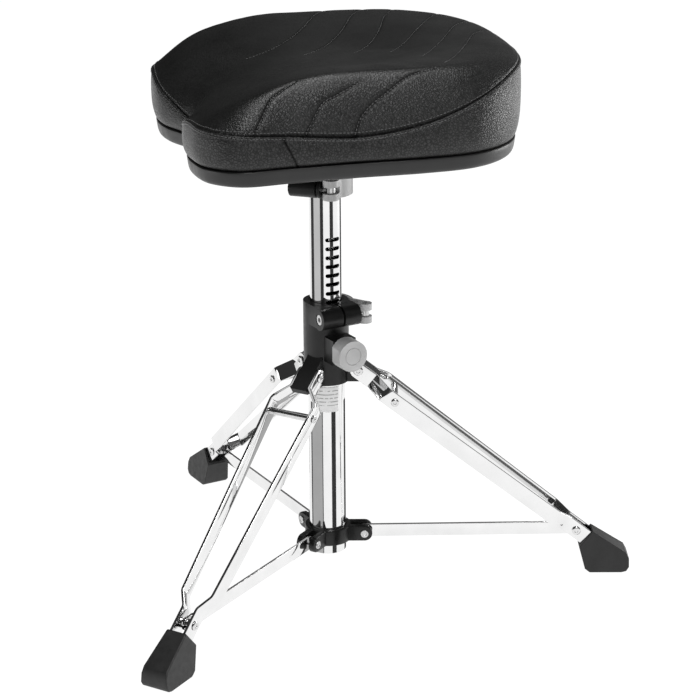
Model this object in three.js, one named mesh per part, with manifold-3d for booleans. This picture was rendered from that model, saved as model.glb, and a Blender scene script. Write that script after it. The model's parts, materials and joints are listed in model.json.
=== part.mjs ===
// Drum throne: a saddle seat on a telescopic post, carried by a folding tripod of double flat legs.
// Millimetres, +Z up. Everything is laid out from the column axis at the floor, and the finished
// group is then moved so that the middle of its footprint is at the origin.

import * as THREE from 'three';
import { mergeVertices } from 'three/addons/utils/BufferGeometryUtils.js';
import Module from 'manifold-3d';

const wasm = await Module();
wasm.setup();

// ---------------------------------------------------------------- driving dimensions

const GAP = 0.3;                 // play between neighbouring pieces
const ROUND = 32;                // sides of a large round
const SMALL = 10;                // sides of a pin or a screw

const POST_R = 17.5;             // upper tube
const POST_WALL = 2;
const POST_LOW = 176;
const POST_TOP = 478;
const GLIDE_R = 18.6;            // plastic glide on the upper tube's lower end
const COLUMN_R = 20.5;           // lower tube
const COLUMN_WALL = 1.6;
const COLUMN_LOW = 26;
const COLUMN_TOP = 254;
const LABEL_LOW = 196;           // blank label just under the hub
const LABEL_TOP = 225;
const LABEL_SPAN = [-128, -52];  // its two edges about the tube, degrees

const HUB_R = 25;                // hub sleeve
const HUB_LOW = 228;
const HUB_TOP = 320;
const BUSH_LOW = 288.6;
const BUSH_R = 19.3;             // split plastic bush around the post
const HUB_FACE = -60;            // direction that the clamp barrel and the index knob face, degrees
const BARREL_R = 11.5;           // clamp barrel, across the front of the sleeve
const BARREL_OUT = 31;
const BARREL_Z = 308.3;
const BARREL_LEFT = -26;
const BARREL_RIGHT = 21;
const SPLIT = 2.4;               // width of the clamp's split
const CLAMP_EYE = 31;            // the clamp lever's pin, along the barrel
const BOLT_R = 3.1;              // clamp bolts
const BOLT_BORE = 3.4;
const BOLT_HEAD_R = 5.8;
const HEAD_BORE = 6.3;
const EYE_R = 5.2;

const INDEX_Z = 271;             // index pin
const INDEX_PIN_R = 4;
const INDEX_PIN = [19, 46];      // its two ends, outward from the column axis
const SPRING = [28.5, 40.6];     // the spring's two ends, outward
const SPRING_R = 7.9;
const BOSS_HALF = 14;
const BOSS_OUT = 41;
const KNOB_R = 17.4;
const KNOB_OUT = 60;
const KNOB_FACE = 6;             // thickness of the knob's round face
const KNOB_FLAT = 15.5;          // half width over the flats behind the face
const SLOT_PITCH = 10;
const SLOT_COUNT = 20;
const SLOT_LOW = 201;
const SLOT_HEIGHT = 4;
const SLOT_WIDTH = 17.2;

const LEG_AZIMUTHS = { a: 0, b: -120, c: 120 };
const LEG_PIVOT = [35, 241.5];   // (outward, up) of the leg's pivot in the hub
const FOOT_PIVOT = [280, 49];    // (outward, up) of the rivet at the foot
const SPIDER_PIVOT = [41.3, 46.5]; // (outward, up) of the strut's pivot in the spider
const LUG_HALF = 9.5;
const LUG_SPAN = [-27, 24];      // the lug's two ends, along the leg's slope from the pivot
const LUG_RISE = 8.6;
const RIVET_R = 3;
const STRUT_WIDTH = 15;
const STRUT_THICK = 3;
const STRAP_WIDTH = 18;
const STRAP_THICK = 3;
// Centre line of one strap: (distance from the hub pivot, distance from the leg's middle plane).
const STRAP_LINE = [
  [-STRAP_WIDTH / 2, 11.3], [19.5, 11.3], [37.5, 27.4], [280, 18.4], [296.5, 8.2], [340, 8.2],
];
const STRAP_AT_FOOT = 8.2;       // the straps' distance from the middle plane at the foot's rivet
const ROD_AT = 51;               // spacer rod, from the hub pivot
const STRAP_AT_ROD = 26.9;

const SPIDER_R = 26;
const SPIDER_HEIGHT = 18;
const EAR_INNER = 4.2;
const EAR_OUTER = 11.4;
const EAR_R = 8.8;

// Side outline of the rubber foot: (outward, up).
const FOOT_OUTLINE = [
  [298.4, 48.4], [336.5, 23.5], [340.2, 16.5], [340.4, 6.5], [337.5, 1.5],
  [332, 0], [296, 0], [290.5, 4.5], [283.4, 30.2],
];
const FOOT_TOP_HALF = 11.8;
const FOOT_SOLE_HALF = 16.5;
const FOOT_SLOPE_FROM = 50;      // height from which the foot's sides start to spread
const FOOT_SLOPE_TO = 8;

const BRACKET_LOW = 441;         // seat socket
const BRACKET_R = 22.5;
const COLLAR_TOP = 466;          // above this the socket flares out to its plate
const FLARE_R = 31;
const SEAT_CLAMP = -110;         // direction of the seat clamp's barrel from the column's axis
const SEAT_BARREL = [-28, 7.6];  // the barrel's two ends
const SEAT_BARREL_R = 10;
const SEAT_SPLIT = [2.4, 4.2];
const SEAT_EYE = [27, 17.2];     // the seat lever's pin: outward, then along the barrel
const SEAT_BOLT_Z = 450;
const PLATE_LOW = 483.5;         // plate that carries the pan
const PLATE_TOP = 490.2;
const PLATE_R = 36;
const PLATE_REACH = 24;
const SCREW_SPOTS = [[34, 24], [34, -24], [-34, 24], [-34, -24]];
const SCREW_R = 2.7;
const SCREW_TOP = 503.5;

const PAN_LOW = 490.5;
const PAN_TOP = 507;
const SEAT_AZIMUTH = 15;         // direction of the seat's rear end, degrees
// Half of the seat's outline, from the notch in its front edge to the middle of its rear end, and
// the height of the top seam along it.
const SEAT_HALF = [
  [-143, 0], [-151, 26], [-164, 66], [-166, 105], [-157, 145], [-130, 169], [-75, 167], [0, 164],
  [70, 163], [128, 152], [169, 120], [195, 70], [204, 0],
];
const SEAM_HEIGHTS = [525, 531, 544, 555, 555, 553.5, 548.5, 543, 553, 572.5, 588, 591.5, 590];
const SEAM_LEAN = 0.05;          // rise of the seam and the top per mm towards +Y
const SEAT_SIDES = 60;
const SEAT_CENTRE = [10, 0];
const DISH_HEIGHT = 584.5;       // lowest part of the seat's middle
const RIM_RISE = 19.6;           // rise from the middle to the sides and to the rear
const FRONT_FALL = 27.8;

const LEG_LENGTH = Math.hypot(FOOT_PIVOT[0] - LEG_PIVOT[0], FOOT_PIVOT[1] - LEG_PIVOT[1]);
const LEG_SLOPE = Math.atan2(LEG_PIVOT[1] - FOOT_PIVOT[1], FOOT_PIVOT[0] - LEG_PIVOT[0]);

// ---------------------------------------------------------------- finishes

const finish = (color, roughness, metalness) =>
  () => new THREE.MeshStandardMaterial({ color, roughness, metalness });

const chrome = finish(0xd9dcdf, 0.08, 1);
const blackCasting = finish(0x1b1c1d, 0.45, 0.3);
const steel = finish(0x9a9c9e, 0.3, 1);
const blackPlastic = finish(0x161616, 0.5, 0);
const greyPlastic = finish(0x9b9c9c, 0.45, 0);
const rubber = finish(0x1a1a19, 0.75, 0);
const leatherette = finish(0x1c1c1d, 0.5, 0);
const paper = finish(0xe6e6e2, 0.7, 0);

// ---------------------------------------------------------------- solids

function solid(geometry) {
  const bare = geometry.clone();
  bare.deleteAttribute('normal');
  bare.deleteAttribute('uv');
  const merged = mergeVertices(bare, 1e-4);
  return new wasm.Manifold(new wasm.Mesh({
    numProp: 3,
    vertProperties: new Float32Array(merged.attributes.position.array),
    triVerts: new Uint32Array(merged.index.array),
  }));
}

function geometryOf(body) {
  const mesh = body.getMesh();
  const geometry = new THREE.BufferGeometry();
  geometry.setAttribute('position', new THREE.BufferAttribute(mesh.vertProperties, 3));
  geometry.setIndex(new THREE.BufferAttribute(mesh.triVerts, 1));
  geometry.computeVertexNormals();
  return geometry;
}

const join = (first, ...others) =>
  others.reduce((body, other) => body.add(solid(other)), solid(first));

const cut = (body, ...tools) =>
  tools.reduce((left, tool) => left.subtract(solid(tool)), body);

const rad = (degrees) => THREE.MathUtils.degToRad(degrees);

// A box from its lowest to its highest corner.
function block([x0, y0, z0], [x1, y1, z1]) {
  const geometry = new THREE.BoxGeometry(x1 - x0, y1 - y0, z1 - z0);
  return geometry.translate((x0 + x1) / 2, (y0 + y1) / 2, (z0 + z1) / 2);
}

// A solid of revolution about Z from (radius, height) points that start and end on the axis.
function turned(points, sides = ROUND) {
  const profile = points.map(([r, z]) => new THREE.Vector2(r, z));
  return new THREE.LatheGeometry(profile, sides).rotateX(Math.PI / 2);
}

// A ring about Z, with an open bore.
function ring(inner, outer, low, high, sides = ROUND) {
  return turned([[inner, low], [outer, low], [outer, high], [inner, high], [inner, low]], sides);
}

// Round rods along each axis.
function rodY(r, low, high, sides = SMALL) {
  return new THREE.CylinderGeometry(r, r, high - low, sides).translate(0, (low + high) / 2, 0);
}

const rodZ = (r, low, high, sides) => rodY(r, low, high, sides).rotateX(Math.PI / 2);

const rodX = (r, low, high, sides) => rodY(r, -high, -low, sides).rotateZ(Math.PI / 2);

function shapeOf(points) {
  return new THREE.Shape(points.map(([x, y]) => new THREE.Vector2(x, y)));
}

function extruded(shape, depth, curveSegments) {
  return new THREE.ExtrudeGeometry(shape, { depth, bevelEnabled: false, curveSegments });
}

// An outline in the XY plane, raised from low to high.
function upright(shape, low, high, curveSegments = 8) {
  return extruded(shape, high - low, curveSegments).translate(0, 0, low);
}

// An outline in the XZ plane, with its thickness from low to high along Y.
function sideways(shape, low, high, curveSegments = 8) {
  return extruded(shape, high - low, curveSegments).rotateX(Math.PI / 2).translate(0, high, 0);
}

// A bar outline from one centre to another, with full round ends.
function barShape([x0, y0], [x1, y1], radius) {
  const angle = Math.atan2(y1 - y0, x1 - x0);
  const shape = new THREE.Shape();
  shape.absarc(x1, y1, radius, angle - Math.PI / 2, angle + Math.PI / 2, false);
  shape.absarc(x0, y0, radius, angle + Math.PI / 2, angle + Math.PI * 1.5, false);
  return shape;
}

// ---------------------------------------------------------------- scene graph helpers

const throne = new THREE.Group();

function part(parent, name, geometry, material) {
  const mesh = new THREE.Mesh(geometry, material());
  mesh.name = name;
  parent.add(mesh);
  return mesh;
}

function turnedGroup(parent, azimuth) {
  const group = new THREE.Group();
  group.rotation.z = rad(azimuth);
  parent.add(group);
  return group;
}

// ---------------------------------------------------------------- hub and column

// The lug's side outline: its top follows the leg's slope, its foot is level with the hub's foot.
function lugGeometry() {
  const along = [Math.cos(LEG_SLOPE), -Math.sin(LEG_SLOPE)];
  const across = [Math.sin(LEG_SLOPE), Math.cos(LEG_SLOPE)];
  const at = (d, w) => [
    LEG_PIVOT[0] + d * along[0] + w * across[0],
    LEG_PIVOT[1] + d * along[1] + w * across[1],
  ];
  const root = at(LUG_SPAN[0], LUG_RISE);
  const nose = at(LUG_SPAN[1], LUG_RISE);
  const shape = shapeOf([root, nose, [nose[0] - 3.5, HUB_LOW], [root[0], HUB_LOW]]);
  return sideways(shape, -LUG_HALF, LUG_HALF);
}

function hubBody() {
  let body = solid(rodZ(HUB_R, HUB_LOW, HUB_TOP, ROUND));
  for (const azimuth of Object.values(LEG_AZIMUTHS)) {
    const lug = lugGeometry().rotateZ(rad(azimuth));
    const bore = rodY(RIVET_R + 1, -LUG_HALF - 1, LUG_HALF + 1)
      .translate(LEG_PIVOT[0], 0, LEG_PIVOT[1])
      .rotateZ(rad(azimuth));
    body = cut(body.add(solid(lug)), bore);
  }
  const face = rad(HUB_FACE);
  const barrel = rodY(BARREL_R, BARREL_LEFT, BARREL_RIGHT, 24).translate(BARREL_OUT, 0, BARREL_Z);
  const ear = block(
    [0, -HUB_R + 0.5, BARREL_Z - BARREL_R],
    [BARREL_OUT, BARREL_RIGHT, BARREL_Z + BARREL_R],
  );
  const boss = block([10, -BOSS_HALF, INDEX_Z - BOSS_HALF], [BOSS_OUT, BOSS_HALF, INDEX_Z + BOSS_HALF]);
  for (const piece of [barrel, ear, boss]) {
    body = body.add(solid(piece.rotateZ(face)));
  }
  const split = block(
    [10, -SPLIT / 2, BARREL_Z - BARREL_R - 1],
    [BARREL_OUT + BARREL_R + 1, SPLIT / 2, HUB_TOP + 1],
  );
  const boltBore = rodY(BOLT_BORE, BARREL_LEFT - 1, BARREL_RIGHT + 1).translate(BARREL_OUT, 0, BARREL_Z);
  const headBore = rodY(HEAD_BORE, BARREL_LEFT - 1, BARREL_LEFT + 5, 16).translate(BARREL_OUT, 0, BARREL_Z);
  const pinBore = rodX(INDEX_PIN_R + GAP, 10, BOSS_OUT + 1).translate(0, 0, INDEX_Z);
  const springBore = rodX(SPRING_R + GAP, SPRING[0] - GAP, BOSS_OUT + 1, 16).translate(0, 0, INDEX_Z);
  for (const tool of [split, boltBore, headBore, pinBore, springBore]) {
    tool.rotateZ(face);
  }
  return cut(
    body,
    rodZ(COLUMN_R + GAP, HUB_LOW - 1, COLUMN_TOP + GAP, ROUND),
    rodZ(BUSH_R + GAP, COLUMN_TOP, HUB_TOP + 1, ROUND),
    split, boltBore, headBore, pinBore, springBore,
  );
}

function guideBush() {
  const body = solid(ring(POST_R + GAP, BUSH_R, BUSH_LOW, HUB_TOP - GAP));
  return cut(body, block([5, -SPLIT / 2, 0], [HUB_R, SPLIT / 2, HUB_TOP + 1]).rotateZ(rad(HUB_FACE)));
}

// The bolt across the split: a socket head at one end and an eye for the lever's pin at the other.
function clampBolt(left, eye) {
  const body = join(
    rodY(BOLT_R, left + 2, eye - 4),
    rodY(BOLT_HEAD_R, left, left + 4, 16),
    rodZ(EYE_R, -BOLT_R, BOLT_R, 16).translate(0, eye, 0),
  );
  return cut(
    body,
    rodZ(RIVET_R + GAP, -5, 5).translate(0, eye, 0),
    rodY(BOLT_HEAD_R / 2, left - 1, left + 2.4, 6),
  );
}

// A quick-release lever in plan: a forked cam head on a vertical pin, and an arm that hugs the
// sleeve of radius `hug` about the column axis from angle `from` to angle `to`. The fork's slot is
// at height `eyeZ`, and the arm starts `rise` above the head's lower end.
function quickLever({ head, headR, hug, thick, from, to, low, high, rise, eyeZ }) {
  const outer = hug + thick;
  const arm = new THREE.Shape();
  arm.absarc(0, 0, outer, to, from, to > from);
  arm.lineTo(head[0], head[1] + Math.sign(head[1]) * headR);
  arm.lineTo(head[0] - headR, head[1] - Math.sign(head[1]) * 0.5);
  arm.absarc(0, 0, hug, from, to, to < from);
  const body = join(
    upright(arm, low + rise, high, 6),
    rodZ(headR, low, high, 18).translate(head[0], head[1], 0),
  );
  const slotHalf = BOLT_R + 0.5;
  const slot = block(
    [head[0] - EYE_R - 2 * GAP, head[1] - headR - 1, eyeZ - slotHalf],
    [head[0] + headR + 1, head[1] + headR + 1, eyeZ + slotHalf],
  );
  const pinBore = rodZ(RIVET_R + GAP, low - 1, high + 1).translate(head[0], head[1], 0);
  return cut(body, slot, pinBore);
}

function buildHub(parent) {
  const face = turnedGroup(parent, HUB_FACE);
  part(parent, 'hub_body', geometryOf(hubBody()), blackCasting);
  part(parent, 'guide_bush', geometryOf(guideBush()), blackPlastic);
  const bolt = part(face, 'clamp_bolt', geometryOf(clampBolt(BARREL_LEFT + 0.6, CLAMP_EYE)), steel);
  bolt.position.set(BARREL_OUT, 0, BARREL_Z);
  const washer = part(face, 'cam_washer', ring(3.6, 8.5, 0, 1.4, 24).rotateX(-Math.PI / 2), steel);
  washer.position.set(BARREL_OUT, BARREL_RIGHT + GAP, BARREL_Z);
  const lever = quickLever({
    head: [BARREL_OUT, CLAMP_EYE], headR: 8, hug: HUB_R + 0.8, thick: 4.6,
    from: rad(72), to: rad(150), low: BARREL_Z - 10.8, high: BARREL_Z + 10.8, rise: 4.5,
    eyeZ: BARREL_Z,
  });
  part(face, 'clamp_lever', geometryOf(lever), greyPlastic);
  const pin = part(face, 'clamp_lever_pin', rodZ(RIVET_R, BARREL_Z - 10.3, BARREL_Z + 11.4), steel);
  pin.position.set(BARREL_OUT, CLAMP_EYE, 0);
  part(face, 'index_knob', geometryOf(indexKnob()), greyPlastic).position.z = INDEX_Z;
  part(face, 'index_pin', rodX(INDEX_PIN_R, ...INDEX_PIN), steel).position.z = INDEX_Z;
  const spring = ring(SPRING_R - 2.9, SPRING_R, ...SPRING, 16).rotateY(Math.PI / 2);
  part(face, 'index_spring', spring, steel).position.z = INDEX_Z;
}

// The knob is round at its face and flat-sided behind it, with a shallow ring in the face.
function indexKnob() {
  const shank = solid(rodX(KNOB_R, BOSS_OUT + 0.5, KNOB_OUT - KNOB_FACE, 24));
  const flats = block([0, -KNOB_FLAT, -KNOB_R - 1], [KNOB_OUT, KNOB_FLAT, KNOB_R + 1]);
  const face = rodX(KNOB_R - 0.2, KNOB_OUT - KNOB_FACE - 0.5, KNOB_OUT, 24);
  const body = shank.intersect(solid(flats)).add(solid(face));
  const groove = ring(9, 9.9, KNOB_OUT - 0.6, KNOB_OUT + 1, 20).rotateY(Math.PI / 2);
  return cut(body, groove, rodX(INDEX_PIN_R + GAP, 0, INDEX_PIN[1] + GAP));
}

// ---------------------------------------------------------------- tubes

function upperTube() {
  const slots = [];
  for (let i = 0; i < SLOT_COUNT; i += 1) {
    const z = SLOT_LOW + i * SLOT_PITCH;
    const slot = block([8, -SLOT_WIDTH / 2, 0], [POST_R + 3, SLOT_WIDTH / 2, SLOT_HEIGHT]);
    slots.push(slot.translate(0, 0, z - SLOT_HEIGHT / 2).rotateZ(rad(HUB_FACE)));
  }
  return cut(solid(ring(POST_R - POST_WALL, POST_R, POST_LOW, POST_TOP, ROUND)), ...slots);
}

function buildColumn(parent) {
  const tube = ring(COLUMN_R - COLUMN_WALL, COLUMN_R, COLUMN_LOW, COLUMN_TOP, ROUND);
  part(parent, 'lower_tube', tube, chrome);
  part(parent, 'upper_tube', geometryOf(upperTube()), chrome);
  const insertR = POST_R - POST_WALL - GAP;
  const glide = turned([
    [0, POST_LOW - 8], [GLIDE_R, POST_LOW - 8], [GLIDE_R, POST_LOW - GAP],
    [insertR, POST_LOW - GAP], [insertR, POST_LOW + 14], [0, POST_LOW + 14],
  ], 24);
  part(parent, 'post_glide', glide, blackPlastic);
  const plugR = COLUMN_R - COLUMN_WALL - GAP;
  part(parent, 'tube_plug', rodZ(plugR, COLUMN_LOW + 1, COLUMN_LOW + 11, 24), blackPlastic);
  part(parent, 'tube_label', labelGeometry(), paper);
}

// A thin blank label wrapped on the tube just under the hub.
function labelGeometry() {
  const inner = COLUMN_R + 0.15;
  const outer = inner + 0.35;
  const [from, to] = LABEL_SPAN.map(rad);
  const shape = new THREE.Shape();
  shape.absarc(0, 0, outer, from, to, false);
  shape.absarc(0, 0, inner, to, from, true);
  return upright(shape, LABEL_LOW, LABEL_TOP, 8);
}

// ---------------------------------------------------------------- spider and struts

function spiderBody() {
  const low = SPIDER_PIVOT[1] - SPIDER_HEIGHT / 2;
  const high = SPIDER_PIVOT[1] + SPIDER_HEIGHT / 2;
  let body = solid(rodZ(SPIDER_R, low, high, ROUND));
  const ear = new THREE.Shape();
  ear.moveTo(21, low + 0.2);
  ear.absarc(SPIDER_PIVOT[0], SPIDER_PIVOT[1], EAR_R, -Math.PI / 2, Math.PI / 2, false);
  ear.lineTo(21, high - 0.2);
  for (const azimuth of Object.values(LEG_AZIMUTHS)) {
    for (const [y0, y1] of [[EAR_INNER, EAR_OUTER], [-EAR_OUTER, -EAR_INNER]]) {
      body = body.add(solid(sideways(ear, y0, y1, 4).rotateZ(rad(azimuth))));
    }
    const bore = rodY(RIVET_R + GAP, -EAR_OUTER - 1, EAR_OUTER + 1)
      .translate(SPIDER_PIVOT[0], 0, SPIDER_PIVOT[1])
      .rotateZ(rad(azimuth));
    body = cut(body, bore);
  }
  return cut(body, rodZ(COLUMN_R + GAP, low - 1, high + 1, ROUND));
}

// A plain shaft with a square head at each end, along Y.
function spiderPin() {
  const headIn = EAR_OUTER + GAP;
  const headOut = EAR_OUTER + 1.4;
  return geometryOf(join(
    rodY(RIVET_R, -headIn - 0.5, headIn + 0.5),
    rodY(4.2, headIn, headOut, 4),
    rodY(4.2, -headOut, -headIn, 4),
  ));
}

function strutGeometry() {
  const outline = barShape(SPIDER_PIVOT, FOOT_PIVOT, STRUT_WIDTH / 2);
  const bar = solid(sideways(outline, -STRUT_THICK / 2, STRUT_THICK / 2, 4));
  const bores = [SPIDER_PIVOT, FOOT_PIVOT].map(([x, z]) =>
    rodY(RIVET_R + GAP, -STRUT_THICK, STRUT_THICK).translate(x, 0, z));
  return geometryOf(cut(bar, ...bores));
}

function buildSpider(parent) {
  part(parent, 'spider', geometryOf(spiderBody()), blackCasting);
  for (const [leg, azimuth] of Object.entries(LEG_AZIMUTHS)) {
    const group = turnedGroup(parent, azimuth);
    const pin = part(group, `spider_pin_${leg}`, spiderPin(), steel);
    pin.position.set(SPIDER_PIVOT[0], 0, SPIDER_PIVOT[1]);
    part(group, `strut_${leg}`, strutGeometry(), chrome);
  }
}

// ---------------------------------------------------------------- legs

// A ribbon outline: the centre line, shifted to both sides by half the thickness.
function ribbonShape(line, thick) {
  const points = line.map(([x, y]) => new THREE.Vector2(x, y));
  const side = (offset) => points.map((point, i) => {
    const before = points[Math.max(i - 1, 0)];
    const after = points[Math.min(i + 1, points.length - 1)];
    const normals = [[before, point], [point, after]]
      .filter(([p, q]) => !p.equals(q))
      .map(([p, q]) => q.clone().sub(p).normalize().rotateAround(new THREE.Vector2(), Math.PI / 2));
    const mean = normals.reduce((sum, n) => sum.add(n), new THREE.Vector2()).normalize();
    return point.clone().addScaledVector(mean, offset / mean.dot(normals.at(-1)));
  });
  return new THREE.Shape([...side(-thick / 2), ...side(thick / 2).reverse()]);
}

// One strap in the leg's own frame: X from the hub pivot to the foot, Y across, Z over the width.
function strapGeometry(sign) {
  const half = STRAP_WIDTH / 2;
  const line = STRAP_LINE.map(([d, t]) => [d, t * sign]);
  const ribbon = solid(upright(ribbonShape(line, STRAP_THICK), -half, half));
  const outline = new THREE.Shape();
  outline.absarc(0, 0, half, Math.PI / 2, Math.PI * 1.5, false);
  outline.lineTo(STRAP_LINE.at(-1)[0], -half);
  outline.lineTo(STRAP_LINE.at(-1)[0], half);
  const rounded = ribbon.intersect(solid(sideways(outline, -40, 40, 4)));
  return geometryOf(cut(
    rounded,
    rodY(RIVET_R + GAP, -40, 40),
    rodY(RIVET_R, -40, 40).translate(ROD_AT, 0, 0),
    rodY(RIVET_R + GAP, -40, 40).translate(LEG_LENGTH, 0, 0),
  ));
}

function spacerRod() {
  const inner = STRAP_AT_ROD - STRAP_THICK / 2 - GAP;
  const outer = STRAP_AT_ROD + STRAP_THICK / 2 + 2 * GAP;
  return turned([
    [0, -outer - 1.4], [4.4, -outer - 1.4], [4.4, -outer], [2.7, -outer], [2.7, -inner], [4, -inner],
    [4, inner], [2.7, inner], [2.7, outer], [4.4, outer], [4.4, outer + 1.4], [0, outer + 1.4],
  ], SMALL).rotateX(Math.PI / 2);
}

// The top rivet: a head outside the strap and a short shank that ends just short of the lug.
function topRivet(sign) {
  const face = LUG_HALF + 2 * GAP + STRAP_THICK + 2 * GAP;
  const profile = [
    [0, LUG_HALF + GAP], [RIVET_R, LUG_HALF + GAP], [RIVET_R, face],
    [5.4, face], [5.4, face + 1.2], [0, face + 1.2],
  ];
  return turned(profile, 12).rotateX(sign > 0 ? -Math.PI / 2 : Math.PI / 2);
}

// The foot rivet: heads outside the straps, shoulders that keep the strut in the middle.
function footRivet() {
  const head = STRAP_AT_FOOT + STRAP_THICK / 2 + 2 * GAP;
  const shoulder = STRAP_AT_FOOT - STRAP_THICK / 2 - 2 * GAP;
  const half = [
    [0, -head - 1.2], [5, -head - 1.2], [5, -head], [RIVET_R, -head],
    [RIVET_R, -shoulder], [5.6, -shoulder], [5.6, -2], [RIVET_R, -2],
  ];
  const mirrored = half.map(([r, t]) => [r, -t]).reverse();
  return turned([...half, ...mirrored], 12).rotateX(Math.PI / 2);
}

// Rubber foot: a wedge that widens downwards, with a pocket for the two straps.
function footGeometry() {
  const bulk = sideways(shapeOf(FOOT_OUTLINE), -1, 1);
  const position = bulk.attributes.position;
  for (let i = 0; i < position.count; i += 1) {
    const down = THREE.MathUtils.inverseLerp(FOOT_SLOPE_FROM, FOOT_SLOPE_TO, position.getZ(i));
    const half = THREE.MathUtils.lerp(FOOT_TOP_HALF, FOOT_SOLE_HALF, THREE.MathUtils.clamp(down, 0, 1));
    position.setY(i, Math.sign(position.getY(i)) * half);
  }
  const pocketHalf = STRAP_AT_FOOT + STRAP_THICK / 2 + GAP;
  const [strapEnd] = STRAP_LINE.at(-1);
  const pocketHigh = STRAP_WIDTH / 2 + GAP;
  const pocket = block([LEG_LENGTH - 6, -pocketHalf, -pocketHigh], [strapEnd + 1, pocketHalf, pocketHigh])
    .rotateY(LEG_SLOPE)
    .translate(LEG_PIVOT[0], 0, LEG_PIVOT[1]);
  return geometryOf(cut(solid(bulk), pocket));
}

function buildLeg(parent, leg, azimuth) {
  const plane = turnedGroup(parent, azimuth);
  const frame = new THREE.Group();
  frame.position.set(LEG_PIVOT[0], 0, LEG_PIVOT[1]);
  frame.rotation.y = LEG_SLOPE;
  plane.add(frame);
  part(frame, `strap_left_${leg}`, strapGeometry(1), chrome);
  part(frame, `strap_right_${leg}`, strapGeometry(-1), chrome);
  part(frame, `spacer_rod_${leg}`, spacerRod(), chrome).position.x = ROD_AT;
  part(frame, `top_rivet_left_${leg}`, topRivet(1), steel);
  part(frame, `top_rivet_right_${leg}`, topRivet(-1), steel);
  part(frame, `foot_rivet_${leg}`, footRivet(), steel).position.x = LEG_LENGTH;
  part(plane, `foot_${leg}`, footGeometry(), rubber);
  const pin = part(plane, `hub_pin_${leg}`, rodY(RIVET_R + 1 - GAP, -LUG_HALF + 0.1, LUG_HALF - 0.1), steel);
  pin.position.set(LEG_PIVOT[0], 0, LEG_PIVOT[1]);
}

// ---------------------------------------------------------------- seat

const step = (value, low, high) => THREE.MathUtils.smoothstep(value, low, high);

function topHeight(x, y) {
  const side = step(Math.abs(y), 0, 150);
  const rear = step(x, 30, 170);
  const front = Math.pow(THREE.MathUtils.clamp((-x - 17.8) / 110, 0, 1.4), 1.857);
  const lean = SEAM_LEAN * 1.18 * y;
  return DISH_HEIGHT + RIM_RISE * (1 - (1 - side) * (1 - rear)) + lean - FRONT_FALL * front;
}

// The seat's closed edge: points of the outline with the seam's height as Z.
function seatEdge() {
  const half = SEAT_HALF.map(([x, y], i) => new THREE.Vector3(x, y, SEAM_HEIGHTS[i]));
  const mirrored = half.slice(1, -1).reverse().map((p) => new THREE.Vector3(p.x, -p.y, p.z));
  const curve = new THREE.CatmullRomCurve3([...half, ...mirrored], true, 'centripetal');
  const edge = curve.getSpacedPoints(SEAT_SIDES).slice(0, SEAT_SIDES).reverse();
  return edge.map((p) => p.setZ(p.z + SEAM_LEAN * p.y));
}

// Stacks closed rings of equal length into one closed skin, capped at both ends by a centre point.
function skin(rings, bottom, top) {
  const count = rings[0].length;
  const vertices = [bottom, ...rings.flat(), top];
  const index = [];
  const at = (row, i) => 1 + row * count + (i % count);
  for (let i = 0; i < count; i += 1) {
    index.push(0, at(0, i + 1), at(0, i));
    for (let row = 0; row < rings.length - 1; row += 1) {
      index.push(at(row, i), at(row, i + 1), at(row + 1, i));
      index.push(at(row, i + 1), at(row + 1, i + 1), at(row + 1, i));
    }
    index.push(at(rings.length - 1, i), at(rings.length - 1, i + 1), vertices.length - 1);
  }
  const geometry = new THREE.BufferGeometry();
  const flat = vertices.flatMap((v) => [v.x, v.y, v.z]);
  geometry.setAttribute('position', new THREE.BufferAttribute(new Float32Array(flat), 3));
  geometry.setIndex(index);
  geometry.computeVertexNormals();
  return geometry;
}

// The outline drawn in by `inset` towards the seat's centre, at one height.
function levelRing(edge, inset, z) {
  return edge.map((p) => {
    const toCentre = new THREE.Vector3(SEAT_CENTRE[0] - p.x, SEAT_CENTRE[1] - p.y, 0).setLength(inset);
    return new THREE.Vector3(p.x + toCentre.x, p.y + toCentre.y, z);
  });
}

function cushionGeometry() {
  const edge = seatEdge();
  const rings = [levelRing(edge, 6, PAN_TOP + GAP)];
  rings.push(edge.map((p) => new THREE.Vector3(p.x, p.y, THREE.MathUtils.lerp(PAN_TOP, p.z, 0.5))));
  rings.push(levelRing(edge, 2, 0).map((p, i) => p.setZ(edge[i].z)));
  for (const scale of [0.98, 0.94, 0.88, 0.8, 0.66, 0.45, 0.22]) {
    rings.push(edge.map((p) => {
      const x = THREE.MathUtils.lerp(SEAT_CENTRE[0], p.x, scale);
      const y = THREE.MathUtils.lerp(SEAT_CENTRE[1], p.y, scale);
      const lift = 1 - Math.pow(1 - Math.min((1 - scale) / 0.166, 1), 2.5);
      return new THREE.Vector3(x, y, THREE.MathUtils.lerp(p.z, topHeight(x, y), lift));
    }));
  }
  const bottom = new THREE.Vector3(...SEAT_CENTRE, PAN_TOP + GAP);
  const top = new THREE.Vector3(...SEAT_CENTRE, topHeight(...SEAT_CENTRE));
  return skin(rings, bottom, top);
}

function panGeometry() {
  const edge = seatEdge();
  const rings = [
    levelRing(edge, 13, PAN_LOW), levelRing(edge, 7, PAN_LOW + 3), levelRing(edge, 5, PAN_TOP),
  ];
  const centre = new THREE.Vector3(...SEAT_CENTRE, PAN_LOW);
  const body = solid(skin(rings, centre, centre.clone().setZ(PAN_TOP)));
  const bores = SCREW_SPOTS.map(([x, y]) =>
    rodZ(SCREW_R + GAP, PAN_LOW - 1, SCREW_TOP + GAP).translate(x, y, 0).rotateZ(rad(-SEAT_AZIMUTH)));
  return geometryOf(cut(body, ...bores));
}

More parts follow.
